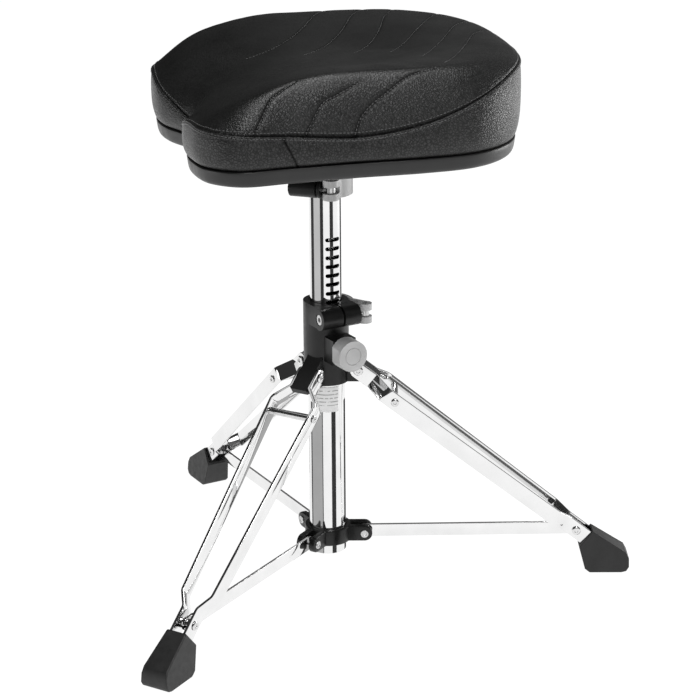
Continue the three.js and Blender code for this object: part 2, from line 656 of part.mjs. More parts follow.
// Cast socket: a split collar with a barrel for the clamp bolt, and a plate under the pan.
function bracketBody() {
  const collar = turned([
    [0, BRACKET_LOW], [BRACKET_R, BRACKET_LOW], [BRACKET_R, COLLAR_TOP],
    [FLARE_R, PLATE_LOW + 0.5], [0, PLATE_LOW + 0.5],
  ], 28);
  const [left, right] = SEAT_BARREL;
  const out = SEAT_EYE[0];
  const barrel = rodY(SEAT_BARREL_R, left, right, 24).translate(out, 0, SEAT_BOLT_Z);
  const cheek = block(
    [0, -BRACKET_R + 0.5, SEAT_BOLT_Z - SEAT_BARREL_R],
    [out, right, SEAT_BOLT_Z + SEAT_BARREL_R],
  );
  const split = block(
    [10, SEAT_SPLIT[0], BRACKET_LOW - 3],
    [out + SEAT_BARREL_R + 1, SEAT_SPLIT[1], COLLAR_TOP],
  );
  const bore = rodY(BOLT_BORE, left - 1, right + 1).translate(out, 0, SEAT_BOLT_Z);
  const headBore = rodY(HEAD_BORE, left - 1, left + 5, 16).translate(out, 0, SEAT_BOLT_Z);
  for (const piece of [barrel, cheek, split, bore, headBore]) {
    piece.rotateZ(rad(SEAT_CLAMP));
  }
  const plate = barShape([-PLATE_REACH, 0], [PLATE_REACH, 0], PLATE_R);
  const body = join(collar, barrel, cheek, upright(plate, PLATE_LOW, PLATE_TOP, 6));
  return cut(
    body,
    rodZ(POST_R + GAP, BRACKET_LOW - 3, POST_TOP + 1, ROUND),
    split, bore, headBore,
    ...SCREW_SPOTS.map(([x, y]) => rodZ(SCREW_R + GAP, PLATE_LOW - 4, PLATE_TOP + 1).translate(x, y, 0)),
  );
}

function buildSeatClamp(parent) {
  const clamp = turnedGroup(parent, SEAT_CLAMP);
  const lever = quickLever({
    head: SEAT_EYE, headR: 8.5, hug: BRACKET_R + 2.7, thick: 5.2,
    from: rad(55), to: rad(124), low: SEAT_BOLT_Z - 10.8, high: SEAT_BOLT_Z + 10.8, rise: 0.5,
    eyeZ: SEAT_BOLT_Z,
  });
  part(clamp, 'seat_lever', geometryOf(lever), greyPlastic);
  const pin = part(clamp, 'seat_lever_pin', rodZ(RIVET_R, SEAT_BOLT_Z - 10.3, SEAT_BOLT_Z + 11.4), steel);
  pin.position.set(SEAT_EYE[0], SEAT_EYE[1], 0);
  const bolt = geometryOf(clampBolt(SEAT_BARREL[0] + 0.6, SEAT_EYE[1]));
  part(clamp, 'seat_clamp_bolt', bolt, steel).position.set(SEAT_EYE[0], 0, SEAT_BOLT_Z);
}

function buildSeat(parent) {
  const seat = turnedGroup(parent, SEAT_AZIMUTH);
  part(seat, 'seat_cushion', cushionGeometry(), leatherette);
  part(seat, 'seat_pan', panGeometry(), blackPlastic);
  part(parent, 'seat_bracket', geometryOf(bracketBody()), blackCasting);
  buildSeatClamp(parent);
  SCREW_SPOTS.forEach(([x, y], i) => {
    const screw = turned([
      [0, PLATE_LOW - 4], [4.6, PLATE_LOW - 4], [5, PLATE_LOW - GAP], [SCREW_R, PLATE_LOW - GAP],
      [SCREW_R, SCREW_TOP], [0, SCREW_TOP],
    ], SMALL);
    part(parent, `seat_screw_${i + 1}`, screw, steel).position.set(x, y, 0);
  });
}

// ---------------------------------------------------------------- assembly

buildColumn(throne);
buildHub(throne);
buildSpider(throne);
for (const [leg, azimuth] of Object.entries(LEG_AZIMUTHS)) {
  buildLeg(throne, leg, azimuth);
}
buildSeat(throne);

throne.updateMatrixWorld(true);
const extent = new THREE.Box3().setFromObject(throne, true);
throne.position.set(-(extent.min.x + extent.max.x) / 2, -(extent.min.y + extent.max.y) / 2, -extent.min.z);

export default throne;
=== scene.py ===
"""Drum throne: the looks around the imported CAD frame. Lengths are in millimetres until they reach Blender."""
import json
import math

import bmesh
import bpy
import numpy as np
from mathutils import Matrix, Vector, kdtree


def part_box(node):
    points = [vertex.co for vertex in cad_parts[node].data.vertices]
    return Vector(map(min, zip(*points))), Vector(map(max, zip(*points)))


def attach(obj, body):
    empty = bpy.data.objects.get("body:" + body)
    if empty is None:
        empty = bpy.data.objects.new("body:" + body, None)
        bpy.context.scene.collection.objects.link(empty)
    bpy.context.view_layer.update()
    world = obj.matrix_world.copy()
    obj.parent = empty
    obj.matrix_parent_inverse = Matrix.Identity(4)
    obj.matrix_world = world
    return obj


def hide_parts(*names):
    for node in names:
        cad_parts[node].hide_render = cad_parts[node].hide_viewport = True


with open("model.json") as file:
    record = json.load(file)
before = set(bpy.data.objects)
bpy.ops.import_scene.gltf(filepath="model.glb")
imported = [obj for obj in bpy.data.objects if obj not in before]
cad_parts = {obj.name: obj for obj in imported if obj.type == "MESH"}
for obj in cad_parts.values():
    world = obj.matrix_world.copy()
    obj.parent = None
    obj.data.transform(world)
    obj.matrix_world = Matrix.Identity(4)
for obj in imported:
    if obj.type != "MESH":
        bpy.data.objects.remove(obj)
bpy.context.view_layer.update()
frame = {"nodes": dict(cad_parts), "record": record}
nodes = frame["nodes"]

MM = 0.001
LEGS = {"a": 0, "b": -120, "c": 120}   # the direction each leg points in, degrees


def node_centre(name):
    low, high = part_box(name)
    return (low + high) / 2


COLUMN = Vector((node_centre("lower_tube").x, node_centre("lower_tube").y, 0))

# ---------------------------------------------------------------- dimensions of the frame, mm
POST_R, POST_WALL, POST_LOW, POST_TOP = 17.5, 2.0, 176.0, 478.0
COLUMN_R, COLUMN_WALL, COLUMN_LOW, COLUMN_TOP = 20.5, 1.6, 26.0, 254.0
SLOT_LOW, SLOT_PITCH, SLOT_COUNT, SLOT_WIDTH, SLOT_HEIGHT = 201.0, 10.0, 20, 17.2, 4.4
HUB_FACE = -60   # the direction that the clamp barrel and the index knob face, degrees
INDEX_Z = 271
LABEL_LOW, LABEL_TOP, LABEL_FROM, LABEL_TO = 196, 225, -128, -52   # heights, then degrees round the tube
LEG_PIVOT, FOOT_PIVOT, SPIDER_PIVOT = (35, 241.5), (280, 49), (41.3, 46.5)
LEG_LENGTH = math.hypot(FOOT_PIVOT[0] - LEG_PIVOT[0], FOOT_PIVOT[1] - LEG_PIVOT[1])
LEG_SLOPE = math.atan2(LEG_PIVOT[1] - FOOT_PIVOT[1], FOOT_PIVOT[0] - LEG_PIVOT[0])
STRUT_LENGTH = math.hypot(FOOT_PIVOT[0] - SPIDER_PIVOT[0], FOOT_PIVOT[1] - SPIDER_PIVOT[1])
STRUT_SLOPE = math.atan2(SPIDER_PIVOT[1] - FOOT_PIVOT[1], FOOT_PIVOT[0] - SPIDER_PIVOT[0])
STRAP_LINE = [(-9, 11.3), (19.5, 11.3), (37.5, 27.4), (280, 18.4), (296.5, 8.2), (340, 8.2)]
STRAP_HALF, STRAP_THICK, STRUT_HALF, STRUT_THICK = 9.0, 3.0, 7.5, 3.0
ROD_AT, STRAP_AT_ROD = 51, 26.9

# ---------------------------------------------------------------- materials


class Graph:
    """A material's node tree, with short calls for its nodes."""

    def __init__(self, name):
        self.material = bpy.data.materials.new(name)
        self.material.use_nodes = True
        self.tree = self.material.node_tree
        self.shader = self.tree.nodes["Principled BSDF"]
        self.coords = self.tree.nodes.new("ShaderNodeTexCoord").outputs["Object"]

    def add(self, kind, values=None, **settings):
        node = self.tree.nodes.new("ShaderNode" + kind)
        for key, value in settings.items():
            setattr(node, key, value)
        for key, value in (values or {}).items():
            if isinstance(value, bpy.types.NodeSocket):
                self.tree.links.new(value, node.inputs[key])
            else:
                node.inputs[key].default_value = value
        return node

    def link(self, output, name):
        self.tree.links.new(output, self.shader.inputs[name])

    def set(self, **values):
        for key, value in values.items():
            self.shader.inputs[key.replace("_", " ")].default_value = value

    def noise(self, scale, detail=3):
        return self.add("TexNoise", {"Vector": self.coords, "Scale": scale, "Detail": detail}).outputs["Fac"]

    def spread(self, value, low, high, start=0.0, end=1.0):
        """Maps start..end of a value to low..high."""
        return self.add("MapRange", {
            "Value": value, "From Min": start, "From Max": end, "To Min": low, "To Max": high,
        }).outputs["Result"]

    def drift(self, scale, detail, low, high):
        """A value that wanders from low to high over patches of the surface."""
        return self.spread(self.noise(scale, detail), low, high, 0.3, 0.7)

    def mix(self, fac, a, b):
        node = self.add("Mix", data_type="RGBA")
        for key, value in ((0, fac), (6, a), (7, b)):
            if isinstance(value, bpy.types.NodeSocket):
                self.tree.links.new(value, node.inputs[key])
            else:
                node.inputs[key].default_value = value
        return node.outputs[2]

    def math(self, operation, a, b):
        return self.add("Math", {0: a, 1: b}, operation=operation).outputs[0]

    def bump(self, height, distance, strength=1.0, normal=None):
        values = {"Height": height, "Distance": distance, "Strength": strength}
        if normal is not None:
            values["Normal"] = normal
        return self.add("Bump", values).outputs["Normal"]


def grey(level, tint=(1, 1, 1)):
    return (level * tint[0], level * tint[1], level * tint[2], 1)


def plain_finish(name, dark, light, rough, metal, patch, grain, relief, gloss=0.5):
    """Paint, plastic or metal: its colour and gloss drift over patches, with a fine grain in relief."""
    g = Graph(name)
    g.link(g.mix(g.drift(patch, 4, 0, 1), grey(dark), grey(light)), "Base Color")
    g.link(g.drift(patch * 4, 5, *rough), "Roughness")
    g.set(Metallic=metal, Specular_IOR_Level=gloss)
    g.link(g.bump(g.noise(grain, 2), relief), "Normal")
    return g.material


chrome = plain_finish("chrome", 0.76, 0.82, (0.035, 0.07), 1.0, 35, 300, 0.000002)
steel = plain_finish("zinc_steel", 0.50, 0.66, (0.2, 0.34), 1.0, 150, 1200, 0.00001)
black_casting = plain_finish("black_casting", 0.006, 0.01, (0.3, 0.42), 0.0, 40, 900, 0.00003, gloss=0.36)
black_plastic = plain_finish("black_plastic", 0.008, 0.013, (0.34, 0.46), 0.0, 30, 1400, 0.00002)
grey_plastic = plain_finish("grey_plastic", 0.47, 0.56, (0.36, 0.5), 0.0, 50, 1100, 0.00004)
rubber = plain_finish("rubber", 0.009, 0.016, (0.45, 0.6), 0.0, 45, 800, 0.00007)
thread = plain_finish("thread", 0.05, 0.09, (0.4, 0.6), 0.0, 200, 2600, 0.00005)
rod_steel = plain_finish("turned_steel", 0.6, 0.75, (0.1, 0.2), 1.0, 80, 900, 0.000005)


def leatherette_material():
    """Pebbled leatherette: convex pebbles between fine creases, smoother where the vertex grain is low. Painted
    shade darkens the colour in the pebble creases, and dims the colour and gloss in the sewn lines, along the
    seam and at the band's joint.
    """
    g = Graph("leatherette")
    wobble = g.add("TexNoise", {"Vector": g.coords, "Scale": 240.0, "Detail": 2.0}).outputs["Color"]
    shifted = g.add("VectorMath", {0: wobble, 1: (0.0022, 0.0022, 0.0022)}, operation="MULTIPLY").outputs[0]
    place = g.add("VectorMath", {0: g.coords, 1: shifted}, operation="ADD").outputs[0]
    grain = g.add("Attribute", attribute_name="grain").outputs["Fac"]

    def pebbles(scale, crease):
        """0 in the creases between cells, rising to 1 over the crease's width."""
        cells = g.add("TexVoronoi", {"Vector": place, "Scale": scale}, feature="DISTANCE_TO_EDGE")
        return g.spread(cells.outputs["Distance"], 0, 1, 0.0, crease)

    pebble, fine = pebbles(350.0, 0.28), pebbles(700.0, 0.3)
    height = g.math("ADD", g.math("MULTIPLY", pebble, 0.75), g.math("MULTIPLY", fine, 0.25))
    strength = g.math("MULTIPLY", grain, g.drift(16, 3, 0.5, 1.0))
    tops = g.spread(height, 0.27, 0.68, 0.15, 1.0)
    blend = g.add("Mix", {0: g.math("MULTIPLY", grain, 0.9), 2: 0.42}, data_type="FLOAT")
    g.tree.links.new(tops, blend.inputs[3])
    # Painted shade: the "open" point value is 1 on open skin and falls to 0.08 in the sewn lines, along the
    # seam and at the band's joint; it dims the gloss here and the colour below.
    painted_shade_factor = g.add("Attribute", attribute_name="open").outputs["Fac"]
    g.link(g.math("MULTIPLY", blend.outputs[0], painted_shade_factor), "Specular IOR Level")
    normal = g.add("Bump", {"Height": height, "Distance": 0.00045, "Strength": strength}).outputs["Normal"]
    g.link(g.bump(g.noise(2600, 2), 0.00002, 0.6, normal), "Normal")
    tint = (1, 1.02, 1)
    tone = g.mix(g.drift(22, 4, 0, 1), grey(0.008, tint), grey(0.014, tint))
    # Painted shade: the colour falls to half at the bottom of the pebble creases, and is dimmed further by the
    # painted shade in the sewn lines, seam and joint.
    crease = g.math("MULTIPLY", g.spread(height, 0.5, 1.0, 0.0, 0.6), painted_shade_factor)
    shaded = g.add("VectorMath", {0: tone}, operation="SCALE")
    g.tree.links.new(crease, shaded.inputs["Scale"])
    g.link(shaded.outputs[0], "Base Color")
    g.link(g.drift(35, 4, 0.3, 0.42), "Roughness")
    return g.material


def label_material():
    """White sticker with plain grey bars where printing would be."""
    g = Graph("label")
    height = g.add("SeparateXYZ", {"Vector": g.coords}).outputs["Z"]
    bars = g.math("PINGPONG", g.math("MULTIPLY", height, 1000.0), 2.1)
    ink = g.math("GREATER_THAN", bars, 1.5)
    across = g.math("GREATER_THAN", g.noise(260, 2), 0.42)
    band = g.math("MULTIPLY", g.math("GREATER_THAN", height, 0.2035), g.math("LESS_THAN", height, 0.2225))
    mask = g.math("MULTIPLY", g.math("MULTIPLY", ink, across), band)
    paper = g.mix(g.noise(90, 3), grey(0.8), grey(0.88))
    g.link(g.mix(g.math("MULTIPLY", mask, 0.65), paper, grey(0.12)), "Base Color")
    g.link(g.spread(g.noise(300, 3), 0.3, 0.45), "Roughness")
    return g.material


leatherette = leatherette_material()
label_paper = label_material()

SLOT_OF = {
    chrome: "chrome", rod_steel: "chrome", steel: "steel", black_casting: "black_casting",
    black_plastic: "black_plastic", grey_plastic: "grey_plastic", rubber: "rubber",
    leatherette: "leatherette", thread: "leatherette", label_paper: "label",
}
FINISH = {SLOT_OF[m]: m for m in (chrome, steel, black_casting, black_plastic, grey_plastic, rubber,
                                  leatherette, label_paper)}
FINISH_OF_NODE = {row["node"]: FINISH[row["material_slot"]] for row in frame["record"]["subparts"]}
for node_name, finish in FINISH_OF_NODE.items():
    nodes[node_name].data.materials.clear()
    nodes[node_name].data.materials.append(finish)

BODY_OF = {n: body for body, members in frame["record"]["behaviour"]["bodies"].items() for n in members}

# ---------------------------------------------------------------- mesh helpers


def about_column(azimuth=0.0):
    """From a frame at the column's foot, turned by the azimuth, in mm, to the row frame in metres."""
    return Matrix.Translation(COLUMN) @ Matrix.Rotation(math.radians(azimuth), 4, "Z") @ Matrix.Scale(MM, 4)


def linked(name, data):
    """A new object in the scene."""
    obj = bpy.data.objects.new(name, data)
    bpy.context.scene.collection.objects.link(obj)
    return obj


def apply_modifiers(obj):
    graph = bpy.context.evaluated_depsgraph_get()
    fine = bpy.data.meshes.new_from_object(obj.evaluated_get(graph))
    obj.modifiers.clear()
    obj.data = fine


def piece(name, verts, faces, material, replaced, matrix, sharp=40, body=None):
    """A finished mesh object that rides on the body of the nodes it replaces."""
    mesh = bpy.data.meshes.new(name)
    mesh.from_pydata([tuple(map(float, v)) for v in verts], [], faces)
    mesh.transform(matrix)
    mesh.validate()
    mesh.materials.append(material)
    mesh.shade_smooth()
    mesh.set_sharp_from_angle(angle=math.radians(sharp))
    return settle(linked(name, mesh), replaced, body)


def settle(obj, replaced, body=None):
    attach(obj, body or BODY_OF[replaced[0]])
    if replaced:
        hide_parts(*replaced)
    return obj


def lathe(profile, steps=96):
    """Vertices and faces of a solid of revolution about Z; the profile runs from axis to axis, or closes."""
    closed = profile[0] == profile[-1]
    points = profile[:-1] if closed else profile
    verts, rows = [], []
    for r, z in points:
        if r < 1e-6:
            rows.append([len(verts)] * steps)
            verts.append((0, 0, z))
        else:
            rows.append(list(range(len(verts), len(verts) + steps)))
            verts += [(r * math.cos(2 * math.pi * i / steps), r * math.sin(2 * math.pi * i / steps), z)
                      for i in range(steps)]
    faces = []
    pairs = list(zip(rows, rows[1:] + rows[:1])) if closed else list(zip(rows, rows[1:]))
    for low, high in pairs:
        for i in range(steps):
            j = (i + 1) % steps
            loop = []
            for v in (low[i], low[j], high[j], high[i]):
                if v not in loop:
                    loop.append(v)
            if len(loop) > 2:
                faces.append(loop)
    return verts, faces


def loft(rings):
    """Vertices and faces of a closed body from rings of equal length, with flat ends."""
    count = len(rings[0])
    verts = [v for ring in rings for v in ring]
    faces = [list(range(count))[::-1], [len(verts) - count + i for i in range(count)]]
    for row in range(len(rings) - 1):
        for i in range(count):
            j = (i + 1) % count
            faces.append([row * count + i, row * count + j, (row + 1) * count + j, (row + 1) * count + i])
    return verts, faces


def filleted(points, radius, steps=6):
    """A polyline whose inner corners are rounded."""
    out = [Vector(points[0])]
    for a, b, c in zip(points, points[1:], points[2:]):
        a, b, c = Vector(a), Vector(b), Vector(c)
        u, v = (a - b).normalized(), (c - b).normalized()
        bend = math.pi - u.angle(v)
        reach = min(radius * math.tan(bend / 2), (a - b).length * 0.45, (c - b).length * 0.45)
        start, end = b + u * reach, b + v * reach
        out.append(start + u * 0.8)
        for i in range(steps + 1):
            t = i / steps
            out.append(start * (1 - t) ** 2 + b * 2 * t * (1 - t) + end * t * t)
        out.append(end + v * 0.8)
    out.append(Vector(points[-1]))
    return out


def ribbon(line, thick, half_at, edge=0.45):
    """A flat bar along a line in the XY plane, its width along Z, with broken edges."""
    rings = []
    for i, p in enumerate(line):
        before, after = line[max(i - 1, 0)], line[min(i + 1, len(line) - 1)]
        along = (after - before).normalized()
        normal = Vector((-along.y, along.x))
        h = half_at(p.x)
        t, e = thick / 2, min(edge, h * 0.5)
        section = [(t, -h + e), (t, h - e), (t - e * 0.3, h - e * 0.3), (t - e, h), (-t + e, h),
                   (-t + e * 0.3, h - e * 0.3), (-t, h - e), (-t, -h + e), (-t + e * 0.3, -h + e * 0.3),
                   (-t + e, -h), (t - e, -h), (t - e * 0.3, -h + e * 0.3)]
        rings.append([(p.x + normal.x * n, p.y + normal.y * n, z) for n, z in section])
    return loft(rings)


def fine_copy(node):
    """A copy of a CAD node, to be made finer."""
    return linked(node + "_fine", nodes[node].data.copy())


def finish_copy(obj, node):
    apply_modifiers(obj)
    obj.data.materials.clear()
    obj.data.materials.append(FINISH_OF_NODE[node])
    settle(obj, [node])


def refined(node, width, segments=2):
    """A finer copy of a CAD node, with merged faces and broken edges."""
    obj = fine_copy(node)
    mesh = obj.data
    bm = bmesh.new()
    bm.from_mesh(mesh)
    bmesh.ops.remove_doubles(bm, verts=bm.verts, dist=2e-5)
    bmesh.ops.dissolve_limit(bm, angle_limit=math.radians(0.8), verts=bm.verts, edges=bm.edges)
    bm.to_mesh(mesh)
    bm.free()
    mesh.shade_smooth()
    bevel = obj.modifiers.new("edges", "BEVEL")
    bevel.width, bevel.segments = width * MM, segments
    bevel.limit_method, bevel.angle_limit = "ANGLE", math.radians(38)
    bevel.use_clamp_overlap = True
    obj.modifiers.new("normals", "WEIGHTED_NORMAL").weight = 90
    finish_copy(obj, node)


def softened(node, voxel, rounds):
    """A cast copy of a CAD node: an even, fine skin with its edges rounded by smoothing."""
    obj = fine_copy(node)
    skin = obj.modifiers.new("skin", "REMESH")
    skin.mode, skin.voxel_size, skin.use_smooth_shade = "VOXEL", voxel * MM, True
    soft = obj.modifiers.new("soft", "SMOOTH")
    soft.factor, soft.iterations = 0.5, rounds
    finish_copy(obj, node)


def round_normals(obj, centre):
    """Gives the curved wall of a cut tube the normals of a true cylinder."""
    mesh = obj.data
    normals = []
    for poly in mesh.polygons:
        for index in poly.loop_indices:
            co = mesh.vertices[mesh.loops[index].vertex_index].co
            radial = Vector((co.x - centre.x, co.y - centre.y, 0)).normalized()
            facing = poly.normal.dot(radial)
            if abs(facing) > 0.9:
                normals.append(tuple(radial if facing > 0 else -radial))
            else:
                normals.append(tuple(poly.normal))
    mesh.normals_split_custom_set(normals)


# ---------------------------------------------------------------- column, post and hub


def tube(inner, outer, low, high):
    """A tube's closed profile, with its four edges broken."""
    lip = 0.5
    return [(inner, low + lip), (inner + lip, low), (outer - lip, low), (outer, low + lip),
            (outer, high - lip), (outer - lip, high), (inner + lip, high), (inner, high - lip),
            (inner, low + lip)]


def build_tubes():
    verts, faces = lathe(tube(COLUMN_R - COLUMN_WALL, COLUMN_R, COLUMN_LOW, COLUMN_TOP))
    piece("lower_tube_fine", verts, faces, chrome, ["lower_tube"], about_column())
    verts, faces = lathe(tube(POST_R - POST_WALL, POST_R, POST_LOW, POST_TOP), 128)
    post = piece("upper_tube_fine", verts, faces, chrome, ["upper_tube"], about_column())
    slots_v, slots_f = [], []
    half, r, steps = SLOT_WIDTH / 2, SLOT_HEIGHT / 2, 10
    for k in range(SLOT_COUNT):
        z = SLOT_LOW + k * SLOT_PITCH
        outline = []
        for side, start in ((1, -90), (-1, 90)):
            for i in range(steps + 1):
                angle = math.radians(start + 180 * i / steps)
                outline.append((side * (half - r) + r * math.cos(angle), z + r * math.sin(angle)))
        base = len(slots_v)
        v, f = loft([[(x, y, h) for y, h in outline] for x in (POST_R - 7, POST_R + 4)])
        slots_v += v
        slots_f += [[base + i for i in face] for face in f]
    mesh = bpy.data.meshes.new("slot_tools")
    mesh.from_pydata(slots_v, [], slots_f)
    mesh.transform(about_column(HUB_FACE))
    tools = linked("slot_tools", mesh)
    outward_faces(tools)
    cut = post.modifiers.new("slots", "BOOLEAN")
    cut.operation, cut.object, cut.solver = "DIFFERENCE", tools, "EXACT"
    apply_modifiers(post)
    bpy.data.objects.remove(tools)
    round_normals(post, COLUMN)


def build_label():
    steps, inner, outer = 40, COLUMN_R + 0.15, COLUMN_R + 0.5
    rings = []
    for i in range(steps + 1):
        a = math.radians(LABEL_FROM + (LABEL_TO - LABEL_FROM) * i / steps)
        c, s = math.cos(a), math.sin(a)
        rings.append([(inner * c, inner * s, LABEL_LOW), (outer * c, outer * s, LABEL_LOW),
                      (outer * c, outer * s, LABEL_TOP), (inner * c, inner * s, LABEL_TOP)])
    verts, faces = loft(rings)
    piece("tube_label_fine", verts, faces, label_paper, ["tube_label"], about_column())


# ---------------------------------------------------------------- legs, struts and feet


def leg_matrix(azimuth):
    return (about_column(azimuth) @ Matrix.Translation((LEG_PIVOT[0], 0, LEG_PIVOT[1]))
            @ Matrix.Rotation(LEG_SLOPE, 4, "Y"))


def strut_matrix(azimuth):
    return (about_column(azimuth) @ Matrix.Translation((SPIDER_PIVOT[0], 0, SPIDER_PIVOT[1]))
            @ Matrix.Rotation(STRUT_SLOPE, 4, "Y"))


def round_end(distance, half):
    """Half width of a bar at a distance from its pivot, on the round side of the pivot."""
    return math.sqrt(max(half * half - distance * distance, 0.2))


def end_stations(start, half, direction, steps=9):
    """Stations along a round end, closer together towards its tip."""
    return [start + direction * half * math.sin(math.pi / 2 * i / steps) * 0.998 for i in range(steps, 0, -1)]


def strap(sign):
    bent = filleted([Vector(p) for p in STRAP_LINE[1:]], 9.0)
    head = [Vector((d, STRAP_LINE[0][1])) for d in end_stations(0, STRAP_HALF, -1) + [0]]
    line = [Vector((p.x, p.y * sign)) for p in head + bent]
    return ribbon(line, STRAP_THICK, lambda x: round_end(x, STRAP_HALF) if x < 0 else STRAP_HALF)


def strut():
    stations = end_stations(0, STRUT_HALF, -1) + [0, STRUT_LENGTH]
    stations += end_stations(STRUT_LENGTH, STRUT_HALF, 1)[::-1]
    line = [Vector((d, 0)) for d in stations]

    def half_at(x):
        past = -x if x < 0 else x - STRUT_LENGTH
        return round_end(past, STRUT_HALF) if past > 0 else STRUT_HALF

    return ribbon(line, STRUT_THICK, half_at)


def domed_head(face, shaft, head, rise=1.5):
    """Half of a rivet's profile: from its shaft to a domed head with a shallow dimple."""
    return [(shaft, face), (head, face), (head, face + rise * 0.35), (head * 0.86, face + rise * 0.85),
            (head * 0.6, face + rise), (head * 0.42, face + rise), (head * 0.34, face + rise * 0.45),
            (0, face + rise * 0.4)]


def both_ways(half, steps):
    """A pin from half its profile, mirrored in the plane z = 0."""
    return lathe([(r, -z) for r, z in half[::-1]] + half, steps)


def build_leg(leg, azimuth):
    place = leg_matrix(azimuth)
    for side, sign in (("left", 1), ("right", -1)):
        verts, faces = strap(sign)
        bar = piece(f"strap_{side}_{leg}_fine", verts, faces, chrome, [f"strap_{side}_{leg}"], place, 30)
        outward_faces(bar)
        turn = Matrix.Rotation(-math.pi / 2 * sign, 4, "X")
        verts, faces = lathe([(0, 9.8), (3, 9.8)] + domed_head(13.7, 3, 5.4), 40)
        rivet = f"top_rivet_{side}_{leg}"
        piece(rivet + "_fine", verts, faces, rod_steel, [rivet], place @ turn)
    outer, inner = STRAP_AT_ROD + STRAP_THICK / 2 + 0.6, STRAP_AT_ROD - STRAP_THICK / 2 - 0.3
    half = [(4, inner - 1.4), (3.6, inner - 1.6), (4.1, inner - 0.4), (4.1, inner),
            (2.7, inner), (2.7, outer)]
    verts, faces = both_ways(half + domed_head(outer, 2.7, 4.4, 1.3), 40)
    turn = Matrix.Rotation(math.pi / 2, 4, "X")
    piece(f"spacer_rod_{leg}_fine", verts, faces, rod_steel, [f"spacer_rod_{leg}"],
          place @ Matrix.Translation((ROD_AT, 0, 0)) @ turn)
    half = [(3, 2), (5.6, 2), (5.6, 6.1), (3, 6.1), (3, 10.2)] + domed_head(10.3, 3, 5, 1.3)
    verts, faces = both_ways(half, 40)
    piece(f"foot_rivet_{leg}_fine", verts, faces, rod_steel, [f"foot_rivet_{leg}"],
          place @ Matrix.Translation((LEG_LENGTH, 0, 0)) @ turn)
    verts, faces = strut()
    outward_faces(piece(f"strut_{leg}_fine", verts, faces, chrome, [f"strut_{leg}"],
                        strut_matrix(azimuth), 30))
    refined(f"foot_{leg}", 2.0, segments=4)


def outward_faces(obj):
    bm = bmesh.new()
    bm.from_mesh(obj.data)
    bmesh.ops.recalc_face_normals(bm, faces=bm.faces)
    bm.to_mesh(obj.data)
    bm.free()


# ---------------------------------------------------------------- seat

SEAT_AZIMUTH = 15
PAN_LOW, PAN_TOP = 490.5, 507.0
SEAT_HALF = [(-143, 0), (-151, 26), (-164, 66), (-166, 105), (-157, 145), (-130, 169), (-75, 167), (0, 164),
             (70, 163), (128, 152), (169, 120), (195, 70), (204, 0)]
SEAM_HEIGHTS = [525, 531, 544, 555, 555, 553.5, 548.5, 543, 553, 572.5, 588, 591.5, 590]
SEAT_CENTRE = np.array([10.0, 0.0])
DISH_HEIGHT, RIM_RISE, SEAM_LEAN, FRONT_FALL = 584.5, 19.6, 0.05, 27.8
LIFT_WIDTH = 0.166
AROUND = 960


def smooth(value, low, high):
    t = np.clip((value - low) / (high - low), 0, 1)
    return t * t * (3 - 2 * t)


def run_length(points):
    """The distance along a polyline at each of its points."""
    return np.concatenate([[0], np.cumsum(np.linalg.norm(np.diff(points, axis=0), axis=1))])


def sampled(at, length, rows):
    """The rows that go with a polyline's points, read at given distances along it."""
    return np.stack([np.interp(at, length, rows[:, k]) for k in range(rows.shape[1])], 1)


def seat_edge(count):
    """The closed seam line, evenly spaced: x, y and height."""
    half = np.array([(x, y, z) for (x, y), z in zip(SEAT_HALF, SEAM_HEIGHTS)], float)
    mirrored = half[1:-1][::-1] * (1, -1, 1)
    p1 = np.concatenate([half, mirrored])
    p0, p2, p3 = np.roll(p1, 1, 0), np.roll(p1, -1, 0), np.roll(p1, -2, 0)
    gap = [np.sqrt(np.linalg.norm(b - a, axis=1))[:, None] for a, b in ((p0, p1), (p1, p2), (p2, p3))]
    t1 = ((p1 - p0) / gap[0] - (p2 - p0) / (gap[0] + gap[1]) + (p2 - p1) / gap[1]) * gap[1]
    t2 = ((p2 - p1) / gap[1] - (p3 - p1) / (gap[1] + gap[2]) + (p3 - p2) / gap[2]) * gap[1]
    rows = []
    for t in np.linspace(0, 1, 60, endpoint=False):
        a, b = -3 * p1 + 3 * p2 - 2 * t1 - t2, 2 * p1 - 2 * p2 + t1 + t2
        rows.append(p1 + t1 * t + a * t * t + b * t ** 3)
    dense = np.stack(rows, 1).reshape(-1, 3)
    closed = np.vstack([dense, dense[:1]])
    length = run_length(closed)
    edge = sampled(np.linspace(0, length[-1], count, endpoint=False), length, closed)
    edge[:, 2] += SEAM_LEAN * edge[:, 1]
    return edge


def top_height(x, y):
    side, rear = smooth(np.abs(y), 0, 150), smooth(x, 30, 170)
    front = np.clip((-x - 17.8) / 110, 0, 1.4) ** 1.857
    return DISH_HEIGHT + RIM_RISE * (1 - (1 - side) * (1 - rear)) + SEAM_LEAN * 1.18 * y - FRONT_FALL * front


def moved_in(edge, inset):
    toward = SEAT_CENTRE - edge[:, :2]
    toward /= np.linalg.norm(toward, axis=1)[:, None]
    return edge[:, :2] + toward * inset


def band_row(edge, t):
    """A ring on the cushion's side wall: t is 0 at the pan and 1 at the seam."""
    inset = 6 * (1 - t) ** 6 + 2 * t ** 6
    z = PAN_TOP + 0.3 + (edge[:, 2] - PAN_TOP - 0.3) * t
    return np.column_stack([moved_in(edge, inset), z])


def on_top(xy, seam, inward):
    """The top's points over plan positions: it rises from the seam's height as it goes inward."""
    lift = 1 - (1 - np.minimum(inward / LIFT_WIDTH, 1)) ** 2.5
    return np.column_stack([xy, seam + (top_height(xy[:, 0], xy[:, 1]) - seam) * lift])


def top_row(edge, inward):
    """A ring on the cushion's top: inward is 0 at the seam and 1 at the centre."""
    start = moved_in(edge, 2.0)
    return on_top(start + (SEAT_CENTRE - start) * inward, edge[:, 2], inward)


